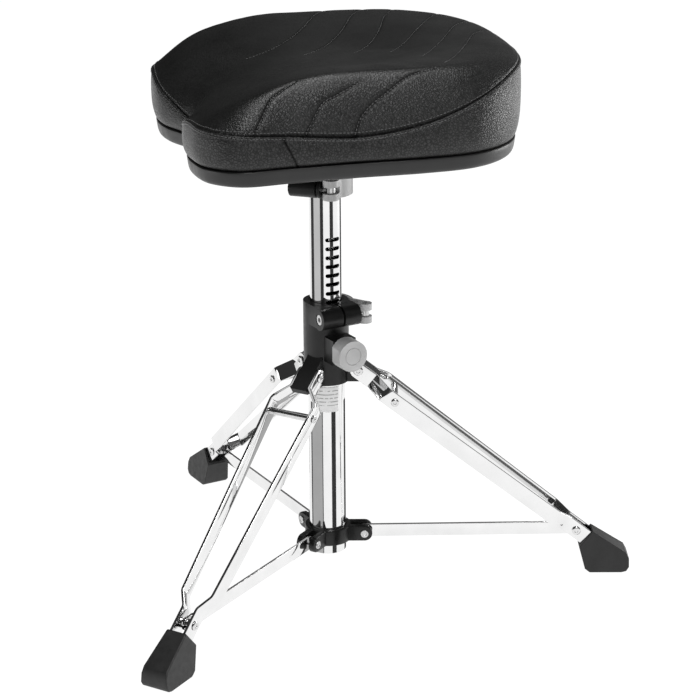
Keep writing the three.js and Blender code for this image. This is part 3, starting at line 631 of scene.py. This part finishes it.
# Sewn lines in the cushion's top, in the seat's own frame: points (x, y) from the seam inwards.
SEWN_NEAR = [
    [(-111, -171), (-108, -167), (-102, -163), (-90, -154), (-78, -149), (-65, -144), (-55, -141)],
    [(-62, -168), (-58, -164), (-51, -161), (-39, -156), (-23, -153), (-4, -149), (10, -146)],
    [(-11, -165), (-7, -161), (0, -158), (13, -155), (34, -151), (72, -141), (90, -136)],
]
SEWN_FAR = [
    [(66, 164), (46, 149), (23, 127), (-1, 89), (-23, 62), (-51, 41), (-80, 34), (-92, 32)],
    [(104, 158), (84, 141), (64, 121), (43, 83), (26, 57), (7, 34), (-21, 12), (-34, 5)],
    [(128, 152), (112, 130), (96, 106), (79, 67), (62, 38), (48, 22), (33, 6), (25, -2)],
    [(170, 118), (155, 100), (139, 80), (112, 42), (91, 13), (70, -10), (60, -20)],
    [(193, 74), (176, 56), (156, 38), (130, -4), (100, -48), (80, -80)],
    [(203, 22), (187, 10), (165, -4), (135, -57), (109, -101), (85, -138)],
]
# Each group's depth, and how far along its lines they start to fade out.
SEWN_GROUPS = ((SEWN_NEAR, 0.8, 0.7), (SEWN_FAR, 0.6, 0.75))
BAND_SEAM = [(-81, 536.5), (-67, 508.5)]   # (x, height) of the band's one joint, on the near side
CUSHION_ROWS = (64, 170)
SWELL_CAP = 2.2
STITCH_PITCH, STITCH_LENGTH, STITCH_R = 3.9, 2.9, 0.42
STITCH_ROWS = (-3.4, 3.0)        # the rows' distance from the seam; negative is on the band


def spline(points, spacing):
    """A smooth curve through points, cut into even steps."""
    p = np.array(points, float)
    p = np.vstack([2 * p[0] - p[1], p, 2 * p[-1] - p[-2]])
    out = []
    for i in range(1, len(p) - 2):
        t = np.linspace(0, 1, 40, endpoint=False)[:, None]
        a, b, c, d = p[i - 1], p[i], p[i + 1], p[i + 2]
        out.append(0.5 * (2 * b + (c - a) * t + (2 * a - 5 * b + 4 * c - d) * t ** 2
                          + (3 * b - a - 3 * c + d) * t ** 3))
    return evenly(np.vstack(out + [p[-2:-1]]), spacing)


class SeatSurface:
    """The cushion's outer skin as a grid of rings, from the pan up to the seam and in to the centre."""

    def __init__(self, count, band_rows, top_rows):
        self.edge = seat_edge(count)
        even = np.linspace(0, 1, band_rows)
        self.band = even + 0.12 * np.sin(np.pi * even) * (1 - 0.3 * even)
        steps = np.linspace(0, 1, top_rows + 1)[1:]
        self.inward = (0.8 * steps + 0.2 * steps ** 3) * 0.9985
        rings = [band_row(self.edge, t) for t in self.band] + [top_row(self.edge, s) for s in self.inward]
        self.points = np.stack(rings)
        self.seam_row = band_rows - 1
        around = np.roll(self.points, -1, 1) - np.roll(self.points, 1, 1)
        up = np.gradient(self.points, axis=0)
        normal = np.cross(around, up)
        normal /= np.linalg.norm(normal, axis=2)[:, :, None] + 1e-12
        centre = np.array([SEAT_CENTRE[0], SEAT_CENTRE[1], 540.0])
        if ((self.points[20] - centre) * normal[20]).sum() < 0:
            normal = -normal
        self.normal = normal
        seam = self.seam_row
        step = np.linalg.norm(np.diff(self.points, axis=0), axis=2)
        self.from_seam = np.zeros(self.points.shape[:2])
        self.from_seam[seam + 1:] = np.cumsum(step[seam:], axis=0)
        self.from_seam[:seam] = -np.cumsum(step[:seam][::-1], axis=0)[::-1]

    def over(self, xy):
        """The top's points over plan positions."""
        edge_in = moved_in(self.edge, 2.0) - SEAT_CENTRE
        angles = np.unwrap(np.arctan2(edge_in[:, 1], edge_in[:, 0]))
        radii = np.linalg.norm(edge_in, axis=1)
        order = np.argsort(np.mod(angles, 2 * np.pi))
        angle_table = np.mod(angles, 2 * np.pi)[order]
        rel = np.asarray(xy, float) - SEAT_CENTRE
        a = np.mod(np.arctan2(rel[:, 1], rel[:, 0]), 2 * np.pi)
        reach = np.interp(a, angle_table, radii[order], period=2 * np.pi)
        seam = np.interp(a, angle_table, self.edge[order, 2], period=2 * np.pi)
        inward = np.clip(1 - np.linalg.norm(rel, axis=1) / reach, 0, 1)
        held_in = np.minimum(1, reach / np.maximum(np.linalg.norm(rel, axis=1), 1e-9))
        return on_top(SEAT_CENTRE + rel * held_in[:, None], seam, inward)


def evenly(points, spacing):
    """Points of a polyline at an even spacing."""
    length = run_length(points)
    return sampled(np.arange(0, length[-1], spacing), length, points)


def sewn_lines(surface):
    """Each sewn line as even points on the skin, with the strength left at each point."""
    lines = []
    for group, depth, fade_from in SEWN_GROUPS:
        for plan in group:
            points = evenly(surface.over(spline(plan, 0.6)), 0.8)
            along = np.linspace(0, 1, len(points))
            lines.append((points, depth * (1 - smooth(along, fade_from, 1.0))))
    return lines


def tree_of(points):
    tree = kdtree.KDTree(len(points))
    for i, p in enumerate(points):
        tree.insert(p, i)
    tree.balance()
    return tree


def grid_object(name, grid, bottom_z, material):
    """A closed skin over a grid of rings, with a flat underside and a point at the top."""
    rows, count = grid.shape[:2]
    verts = np.vstack([grid.reshape(-1, 3), [[*SEAT_CENTRE, bottom_z]], [grid[-1].mean(0)]])
    row, col = np.meshgrid(np.arange(rows - 1), np.arange(count), indexing="ij")
    nxt = (col + 1) % count
    corners = [row * count + col, row * count + nxt, (row + 1) * count + nxt, (row + 1) * count + col]
    quads = np.stack(corners, -1).reshape(-1, 4)
    i = np.arange(count)
    low, high = rows * count, rows * count + 1
    fan = np.concatenate([
        np.stack([(i + 1) % count, i, np.full(count, low)], 1),
        np.stack([(rows - 1) * count + i, (rows - 1) * count + (i + 1) % count, np.full(count, high)], 1),
    ])
    mesh = bpy.data.meshes.new(name)
    mesh.vertices.add(len(verts))
    mesh.vertices.foreach_set("co", verts.astype(np.float32).ravel())
    loops = np.concatenate([quads.ravel(), fan.ravel()]).astype(np.int32)
    mesh.loops.add(len(loops))
    mesh.loops.foreach_set("vertex_index", loops)
    sizes = np.concatenate([np.full(len(quads), 4), np.full(len(fan), 3)])
    mesh.polygons.add(len(sizes))
    mesh.polygons.foreach_set("loop_start", np.concatenate([[0], np.cumsum(sizes)[:-1]]).astype(np.int32))
    mesh.update(calc_edges=True)
    mesh.validate()
    mesh.materials.append(material)
    mesh.shade_smooth()
    obj = linked(name, mesh)
    outward_faces(obj)
    return obj


def swelling(surface, lines):
    """How far the stuffing pushes the skin out: pressure cloth held at its seams and sewn lines."""
    coarse = SeatSurface(240, 14, 40)
    grid = coarse.points - coarse.normal * 1.0
    pad = grid_object("pad", grid, PAN_TOP + 0.3, leatherette)
    remesh = pad.modifiers.new("remesh", "REMESH")
    remesh.mode, remesh.voxel_size = "VOXEL", 5.0
    apply_modifiers(pad)
    pad.data.transform(Matrix.Scale(MM, 4))
    rest = np.empty(len(pad.data.vertices) * 3, np.float32)
    pad.data.vertices.foreach_get("co", rest)
    rest = rest.reshape(-1, 3) * 1000.0
    held = tree_of(np.vstack([p[w > 0.35][::3] for p, w in lines] + [coarse.points[coarse.seam_row]]))
    group = pad.vertex_groups.new(name="held")
    for i, p in enumerate(rest):
        if p[2] < PAN_TOP + 4 or held.find(p)[2] < 4.5:
            group.add([i], 1.0, "REPLACE")
    cloth = pad.modifiers.new("cloth", "CLOTH")
    settings = cloth.settings
    settings.use_pressure, settings.uniform_pressure_force = True, 4.0
    settings.vertex_group_mass = "held"
    settings.effector_weights.gravity = 0
    settings.quality = 6
    cloth.point_cache.frame_start, cloth.point_cache.frame_end = 1, 20
    scene = bpy.context.scene
    for frame_number in range(1, 21):
        scene.frame_set(frame_number)
    graph = bpy.context.evaluated_depsgraph_get()
    blown = pad.evaluated_get(graph).to_mesh()
    now = np.empty(len(rest) * 3, np.float32)
    blown.vertices.foreach_get("co", now)
    moved = now.reshape(-1, 3) * 1000.0 - rest
    scene.frame_set(1)
    pad.modifiers.clear()
    bpy.data.objects.remove(pad)
    size = np.linalg.norm(moved, axis=1)
    moved *= (np.minimum(size, SWELL_CAP) / np.maximum(size, 1e-6))[:, None]
    tree = tree_of(rest)
    flat = surface.points.reshape(-1, 3)
    out = np.zeros(len(flat))
    normals = surface.normal.reshape(-1, 3)
    for i, p in enumerate(flat):
        total = weight = 0.0
        for _, index, distance in tree.find_n(p, 9):
            w = math.exp(-(distance / 5.5) ** 2)
            total += w * float(moved[index] @ normals[i])
            weight += w
        out[i] = total / max(weight, 1e-9)
    return out.reshape(surface.points.shape[:2])


def capsule(centre, along, normal, verts, faces):
    """One stitch: a short thread that dips into the skin at both ends."""
    base, sides = len(verts), 8
    across = along.cross(normal).normalized()
    stations = ((-0.5, 0.3, 0.9), (-0.4, 0.85, 0.35), (-0.2, 1, 0.0), (0, 1.05, -0.1), (0.2, 1, 0.0),
                (0.4, 0.85, 0.35), (0.5, 0.3, 0.9))   # along the stitch, its size, how far it sinks
    for k, (t, r, sink) in enumerate(stations):
        middle = centre + along * (t * STITCH_LENGTH) - normal * (sink * STITCH_R)
        for i in range(sides):
            a = 2 * math.pi * i / sides
            verts.append(middle + (across * math.cos(a) + normal * math.sin(a)) * (STITCH_R * r))
        if k:
            low = base + (k - 1) * sides
            for i in range(sides):
                j = (i + 1) % sides
                faces.append([low + i, low + j, low + sides + j, low + sides + i])
    faces.append([base + i for i in range(sides)][::-1])
    faces.append([len(verts) - sides + i for i in range(sides)])


def point_values(obj, name, values):
    """Stores one value per vertex for the material to read."""
    obj.data.attributes.new(name, "FLOAT", "POINT").data.foreach_set("value", values)


def build_cushion():
    surface = SeatSurface(AROUND, *CUSHION_ROWS)
    lines = sewn_lines(surface)
    points, normal = surface.points, surface.normal
    puff = swelling(surface, lines)
    inward = np.concatenate([np.zeros(len(surface.band)), surface.inward])[:, None] + np.zeros_like(puff)
    puff = puff * (1 - 0.6 * smooth(inward, 0.2, 0.5))
    tree = tree_of(np.vstack([p for p, _ in lines]))
    weights = np.concatenate([w for _, w in lines])
    flat = points.reshape(-1, 3)
    gap, strength = np.empty(len(flat)), np.empty(len(flat))
    for i, p in enumerate(flat):
        _, index, distance = tree.find(p)
        gap[i], strength[i] = distance, weights[index]
    gap, strength = gap.reshape(puff.shape), strength.reshape(puff.shape)
    groove = strength * (0.5 * np.exp(-(gap / 3.6) ** 2) + 1.2 * np.exp(-(gap / 1.3) ** 2))
    s = surface.from_seam
    crease = 1.6 * np.exp(-((s - 0.1) / 0.9) ** 2) + 0.6 * np.exp(-(s / 6.0) ** 2)
    lap = 1.1 * smooth(-s, 0.8, 1.6) * (1 - smooth(-s, 4.6, 5.4)) - 0.4 * np.exp(-((s + 3.4) / 0.6) ** 2)
    near = points[..., 1] < 0
    (top_x, top_z), (low_x, low_z) = BAND_SEAM
    joint_x = np.interp(points[..., 2], [low_z, top_z], [low_x, top_x])
    joint = 0.9 * np.exp(-((points[..., 0] - joint_x) / 1.1) ** 2) * near * (s < -1)
    tuck = 1.2 * np.exp(-(np.minimum(points[..., 2] - PAN_TOP - 0.3, 60) / 2.4) ** 2) * (s < -3)
    shape = points + normal * (puff - groove - crease + lap - joint - tuck)[..., None]
    shape[..., 2] = np.maximum(shape[..., 2], PAN_TOP + 0.35)
    cushion = grid_object("cushion", shape, PAN_TOP + 0.35, leatherette)
    grain = 0.1 + 0.3 * (1 - smooth(inward, 0.0, 0.03)) + 0.6 * (1 - smooth(inward, 0.05, 0.5))
    grain = np.maximum(grain, 0.1 + 0.5 * smooth(-points[..., 0], 40, 130))
    ends = [1.0, grain[-1].mean()]
    point_values(cushion, "grain", np.concatenate([grain.ravel(), ends]).astype(np.float32))
    # Painted shade in the sewn lines, along the seam and at the band's joint: 1 where shaded, stored for the
    # material as one minus 0.92 of it in "open".
    closed = np.minimum(strength * 1.2, 1) * np.exp(-(gap / 1.3) ** 2)
    closed = np.maximum(closed, np.exp(-((s - 0.1) / 0.8) ** 2))
    closed = np.maximum(closed, joint / 0.9)
    point_values(cushion, "open", 1 - 0.92 * np.concatenate([closed.ravel(), [0.0, 0.0]]).astype(np.float32))
    cushion.data.transform(about_column(SEAT_AZIMUTH))
    settle(cushion, ["seat_cushion"])
    sew(surface, shape, lines)


def sew(surface, shape, lines):
    """Thread along both sides of the seam and in the sewn lines."""
    verts, faces = [], []
    column = np.arange(AROUND)
    for offset in STITCH_ROWS:
        row = np.argmin(np.abs(surface.from_seam - offset), axis=0)
        ring, ring_normals = shape[row, column], surface.normal[row, column]
        ring, ring_normals = np.vstack([ring, ring[:1]]), np.vstack([ring_normals, ring_normals[:1]])
        length = run_length(ring)
        count = int(length[-1] / STITCH_PITCH)
        at = np.arange(count) * length[-1] / count
        here, facing = sampled(at, length, ring), sampled(at, length, ring_normals)
        add_stitches(here, facing, np.ones(len(here)), verts, faces, closed=True)
    flat, flat_n = shape.reshape(-1, 3), surface.normal.reshape(-1, 3)
    skin_tree = tree_of(flat)
    for points, strength in lines:
        length = run_length(points)
        at = np.arange(5.0, length[-1], STITCH_PITCH)
        on, left = sampled(at, length, points), np.interp(at, length, strength)
        found = [skin_tree.find(p)[1] for p in on]
        normals = flat_n[found]
        drop = ((flat[found] - on) * normals).sum(1)
        add_stitches(on + normals * drop[:, None], normals, left, verts, faces)
    stitches = piece("stitches", verts, faces, thread, [], about_column(SEAT_AZIMUTH), 60, body="seat")
    outward_faces(stitches)


def add_stitches(points, normals, strength, verts, faces, closed=False):
    for i, p in enumerate(points):
        if strength[i] < 0.12:
            continue
        after = points[(i + 1) % len(points)] if closed or i + 1 < len(points) else 2 * p - points[i - 1]
        before = points[i - 1] if closed or i else 2 * p - points[i + 1]
        n = Vector(normals[i]).normalized()
        along = Vector(after - before)
        along = (along - n * along.dot(n)).normalized()
        capsule(Vector(p) + n * 0.15, along, n, verts, faces)


def build_pan():
    edge = seat_edge(240)
    profile = [(60, PAN_LOW), (14.5, PAN_LOW), (12.2, 490.7), (10.2, 491.3), (8.6, 492.3), (7.4, 493.7),
               (6.6, 495.6), (6.0, 498.5), (5.5, 502), (5.0, 505.6), (5.2, 506.5), (5.9, PAN_TOP),
               (60, PAN_TOP)]
    rings = [np.column_stack([moved_in(edge, inset), np.full(len(edge), z)]) for inset, z in profile]
    pan = grid_object("seat_pan_fine", np.stack(rings), PAN_LOW, black_plastic)
    pan.data.vertices[len(pan.data.vertices) - 1].co.z = PAN_TOP
    pan.data.set_sharp_from_angle(angle=math.radians(50))
    pan.data.transform(about_column(SEAT_AZIMUTH))
    settle(pan, ["seat_pan"])


# ---------------------------------------------------------------- small parts


def build_spring():
    turns, wire, radius, low, high = 5.5, 0.9, 6.9, 29.6, 39.6
    sides, steps = 8, 150
    rings = []
    for i in range(steps + 1):
        t = i / steps
        a = 2 * math.pi * turns * t
        centre = Vector((low + (high - low) * t, radius * math.cos(a), radius * math.sin(a)))
        out = Vector((0, math.cos(a), math.sin(a)))
        rise = (high - low) / (2 * math.pi * turns)
        ahead = Vector((rise, -radius * math.sin(a), radius * math.cos(a))).normalized()
        side = ahead.cross(out)
        rings.append([centre + (out * math.cos(b) + side * math.sin(b)) * wire
                      for b in (2 * math.pi * j / sides for j in range(sides))])
    verts, faces = loft(rings)
    spring = piece("index_spring_fine", verts, faces, steel, ["index_spring"],
                   about_column(HUB_FACE) @ Matrix.Translation((0, 0, INDEX_Z)))
    outward_faces(spring)


def rounded_bar(reach, start, low, high, y0, y1):
    """A cheek with a round end and broken edges: x from start to reach, upright, between y0 and y1."""
    edge, steps = 0.9, 20
    r, middle = (high - low) / 2, (high + low) / 2
    rings = []
    for y, inset in ((y0, edge), (y0 + edge * 0.3, edge * 0.3), (y0 + edge, 0), (y1 - edge, 0),
                     (y1 - edge * 0.3, edge * 0.3), (y1, edge)):
        ring = [(start, y, low + inset), (start, y, high - inset)]
        for i in range(steps + 1):
            a = math.pi / 2 - math.pi * i / steps
            ring.append((reach - r + (r - inset) * math.cos(a), y, middle + (r - inset) * math.sin(a)))
        rings.append(ring[::-1])
    return loft(rings)


def build_spider():
    low, high = SPIDER_PIVOT[1] - 9, SPIDER_PIVOT[1] + 9
    bore = COLUMN_R + 0.3
    verts, faces = lathe([(bore, low + 0.5), (COLUMN_R + 0.8, low), (25.1, low), (25.7, low + 0.3),
                          (26, low + 1), (26, high - 1), (25.7, high - 0.3), (25.1, high),
                          (COLUMN_R + 0.8, high), (bore, high - 0.5), (bore, low + 0.5)])
    verts, faces = [Vector(v) for v in verts], list(faces)
    for azimuth in LEGS.values():
        turn = Matrix.Rotation(math.radians(azimuth), 4, "Z")
        for y0, y1 in ((4.2, 11.4), (-11.4, -4.2)):
            more, loops = rounded_bar(SPIDER_PIVOT[0] + 8.8, 22.5, low + 0.2, high - 0.2, y0, y1)
            base = len(verts)
            verts += [turn @ Vector(v) for v in more]
            faces += [[base + i for i in loop] for loop in loops]
    outward_faces(piece("spider_fine", verts, faces, black_casting, ["spider"], about_column(), 40))
    for leg, azimuth in LEGS.items():
        half = [(3, 0), (3, 11.5), (4.6, 11.5), (4.6, 12.2), (4.2, 12.7), (2.6, 12.9), (2.2, 12.5), (0, 12.4)]
        verts, faces = lathe([(r, -z) for r, z in half[:0:-1]] + half[1:], 32)
        place = about_column(azimuth) @ Matrix.Translation((SPIDER_PIVOT[0], 0, SPIDER_PIVOT[1]))
        piece(f"spider_pin_{leg}_fine", verts, faces, steel, [f"spider_pin_{leg}"],
              place @ Matrix.Rotation(math.pi / 2, 4, "X"))


def build_small_parts():
    build_spider()
    for name, width, segments in (
            ("hub_body", 0.9, 3), ("clamp_lever", 1.0, 3), ("seat_lever", 1.2, 3), ("index_knob", 0.8, 3),
            ("clamp_bolt", 0.35, 2), ("seat_clamp_bolt", 0.35, 2), ("clamp_lever_pin", 0.4, 2),
            ("seat_lever_pin", 0.4, 2), ("cam_washer", 0.3, 2), ("index_pin", 0.5, 2),
            ("guide_bush", 0.3, 2), ("post_glide", 0.6, 2), ("tube_plug", 0.6, 2)):
        refined(name, width, segments=segments)
    softened("seat_bracket", 0.55, 6)
    for leg in LEGS:
        refined(f"hub_pin_{leg}", 0.4)
    for i in range(1, 5):
        refined(f"seat_screw_{i}", 0.4)


# ---------------------------------------------------------------- stage, lights and camera


def stage_plane(name, half, location, material):
    """A level square of the stage."""
    mesh = bpy.data.meshes.new(name)
    corners = [(-half, -half, 0), (half, -half, 0), (half, half, 0), (-half, half, 0)]
    mesh.from_pydata(corners, [], [(0, 1, 2, 3)])
    mesh.materials.append(material)
    obj = linked(name, mesh)
    obj.location = location


def flag(name, start, end, material, radius, low, high):
    """An upright curved flag round the column that only polished surfaces see; angles in degrees."""
    steps = max(2, int(end - start) // 3)
    verts, faces = [], []
    for i in range(steps + 1):
        a = math.radians(VIEW_AZIMUTH + start + (end - start) * i / steps)
        verts += [(COLUMN.x + radius * math.cos(a), radius * math.sin(a), z) for z in (low, high)]
    for i in range(steps):
        faces.append([2 * i, 2 * i + 1, 2 * i + 3, 2 * i + 2])
    mesh = bpy.data.meshes.new(name)
    mesh.from_pydata(verts, [], faces)
    mesh.materials.append(material)
    obj = linked(name, mesh)
    obj.visible_camera = obj.visible_diffuse = obj.visible_shadow = False
    obj.visible_transmission = obj.visible_volume_scatter = False


def build_stage():
    floor = Graph("floor")
    floor.link(floor.mix(floor.noise(3, 3), grey(0.1), grey(0.11)), "Base Color")
    floor.set(Roughness=0.8, Emission_Color=(1, 1, 1, 1), Emission_Strength=FLOOR_GLOW)
    stage_plane("floor", 12, (0, 4, -0.0006), floor.material)
    for place, (radius, low, high, stripes) in FLAGS.items():
        for i, (start, end, level) in enumerate(stripes):
            card = Graph(f"flag_{place}_{i}")
            card.link(card.mix(card.noise(3, 2), grey(0.01), grey(0.02)), "Base Color")
            card.set(Roughness=1.0, Emission_Color=(1, 1, 1, 1), Emission_Strength=level)
            flag(f"flag_{place}_{i}", start, end, card.material, radius, low, high)


VIEW_AZIMUTH = -89
FLOOR_GLOW = 1.0
# Flags seen in the chrome round the column: their distance and the heights they span, then where
# each starts and ends, in degrees from the camera's side, and how bright it is.
FLAGS = {
    "low": (0.044, 0.012, 0.195, [(-95, -85, 0.03), (-85, -24, 0.45), (-24, -20, 0.03), (21, 43, 0.03),
                                  (103, 133, 0.03)]),
    "high": (0.1, 0.29, 0.44, [(-110, -81, 0.03), (-81, -33, 0.6), (-33, -12, 0.02), (30, 54, 0.03),
                               (119, 147, 0.03)]),
}
LIGHTS = [
    # name, location, aim, size, watts
    ("key", (0.7, -2.3, 2.3), (0, 0, 0.5), 0.8, 25),
    ("left", (-2.3, -0.5, 0.45), (0, 0, 0.4), 1.0, 5),
    ("right", (2.2, 1.2, 0.4), (0, 0, 0.5), 1.1, 23),
    ("top", (0.1, -0.5, 2.6), (0, 0, 0.5), 1.4, 36),
]
WORLD_STRENGTH = (0.035, 0.17)   # of the surroundings, on the left and on the right


def build_lights():
    for name, place, aim, size, watts in LIGHTS:
        light = bpy.data.lights.new(name, "AREA")
        light.shape, light.size, light.energy = "DISK", size, watts
        obj = linked(name, light)
        obj.location = place
        obj.rotation_euler = (Vector(aim) - Vector(place)).to_track_quat("-Z", "Y").to_euler()
    world = bpy.context.scene.world or bpy.data.worlds.new("world")
    bpy.context.scene.world = world
    world.use_nodes = True
    background = world.node_tree.nodes["Background"]
    background.inputs["Color"].default_value = (1, 1, 1, 1)
    tree = world.node_tree
    split = tree.nodes.new("ShaderNodeSeparateXYZ")
    tree.links.new(tree.nodes.new("ShaderNodeTexCoord").outputs["Generated"], split.inputs[0])
    shade = tree.nodes.new("ShaderNodeMapRange")
    shade.interpolation_type = "SMOOTHSTEP"
    tree.links.new(split.outputs["X"], shade.inputs["Value"])
    for name, value in (("From Min", -0.3), ("From Max", 0.08), ("To Min", WORLD_STRENGTH[0]),
                        ("To Max", WORLD_STRENGTH[1])):
        shade.inputs[name].default_value = value
    tree.links.new(shade.outputs["Result"], background.inputs["Strength"])


CAMERA = dict(focal=2000.0136, distance=2086.2582, height=958.5855, pitch=0.3226019, roll=-0.006107,
              pan=-0.0124989, turn=-0.019946)


def build_camera():
    c = CAMERA
    pan, pitch, roll = c["pan"], c["pitch"], c["roll"]
    right = Vector((math.cos(pan), math.sin(pan), 0))
    ahead = Vector((-math.sin(pan), math.cos(pan), 0))
    forward = ahead * math.cos(pitch) + Vector((0, 0, -math.sin(pitch)))
    up = ahead * math.sin(pitch) + Vector((0, 0, math.cos(pitch)))
    right, up = right * math.cos(roll) + up * math.sin(roll), up * math.cos(roll) - right * math.sin(roll)
    basis = Matrix((right, up, -forward)).transposed().to_4x4()
    basis.translation = Vector((0, -c["distance"], c["height"])) * MM
    camera = bpy.data.cameras.new("camera")
    camera.sensor_width, camera.lens = 36, c["focal"] / 700 * 36
    camera.clip_end = 60
    obj = linked("camera", camera)
    obj.matrix_world = Matrix.Translation(COLUMN) @ Matrix.Rotation(-c["turn"], 4, "Z") @ basis
    bpy.context.scene.camera = obj


# ---------------------------------------------------------------- assembly

build_tubes()
build_label()
for leg_name, leg_azimuth in LEGS.items():
    build_leg(leg_name, leg_azimuth)
build_small_parts()
build_spring()
build_pan()
build_cushion()
build_stage()
build_lights()
build_camera()
bpy.context.scene.view_settings.view_transform = "Standard"
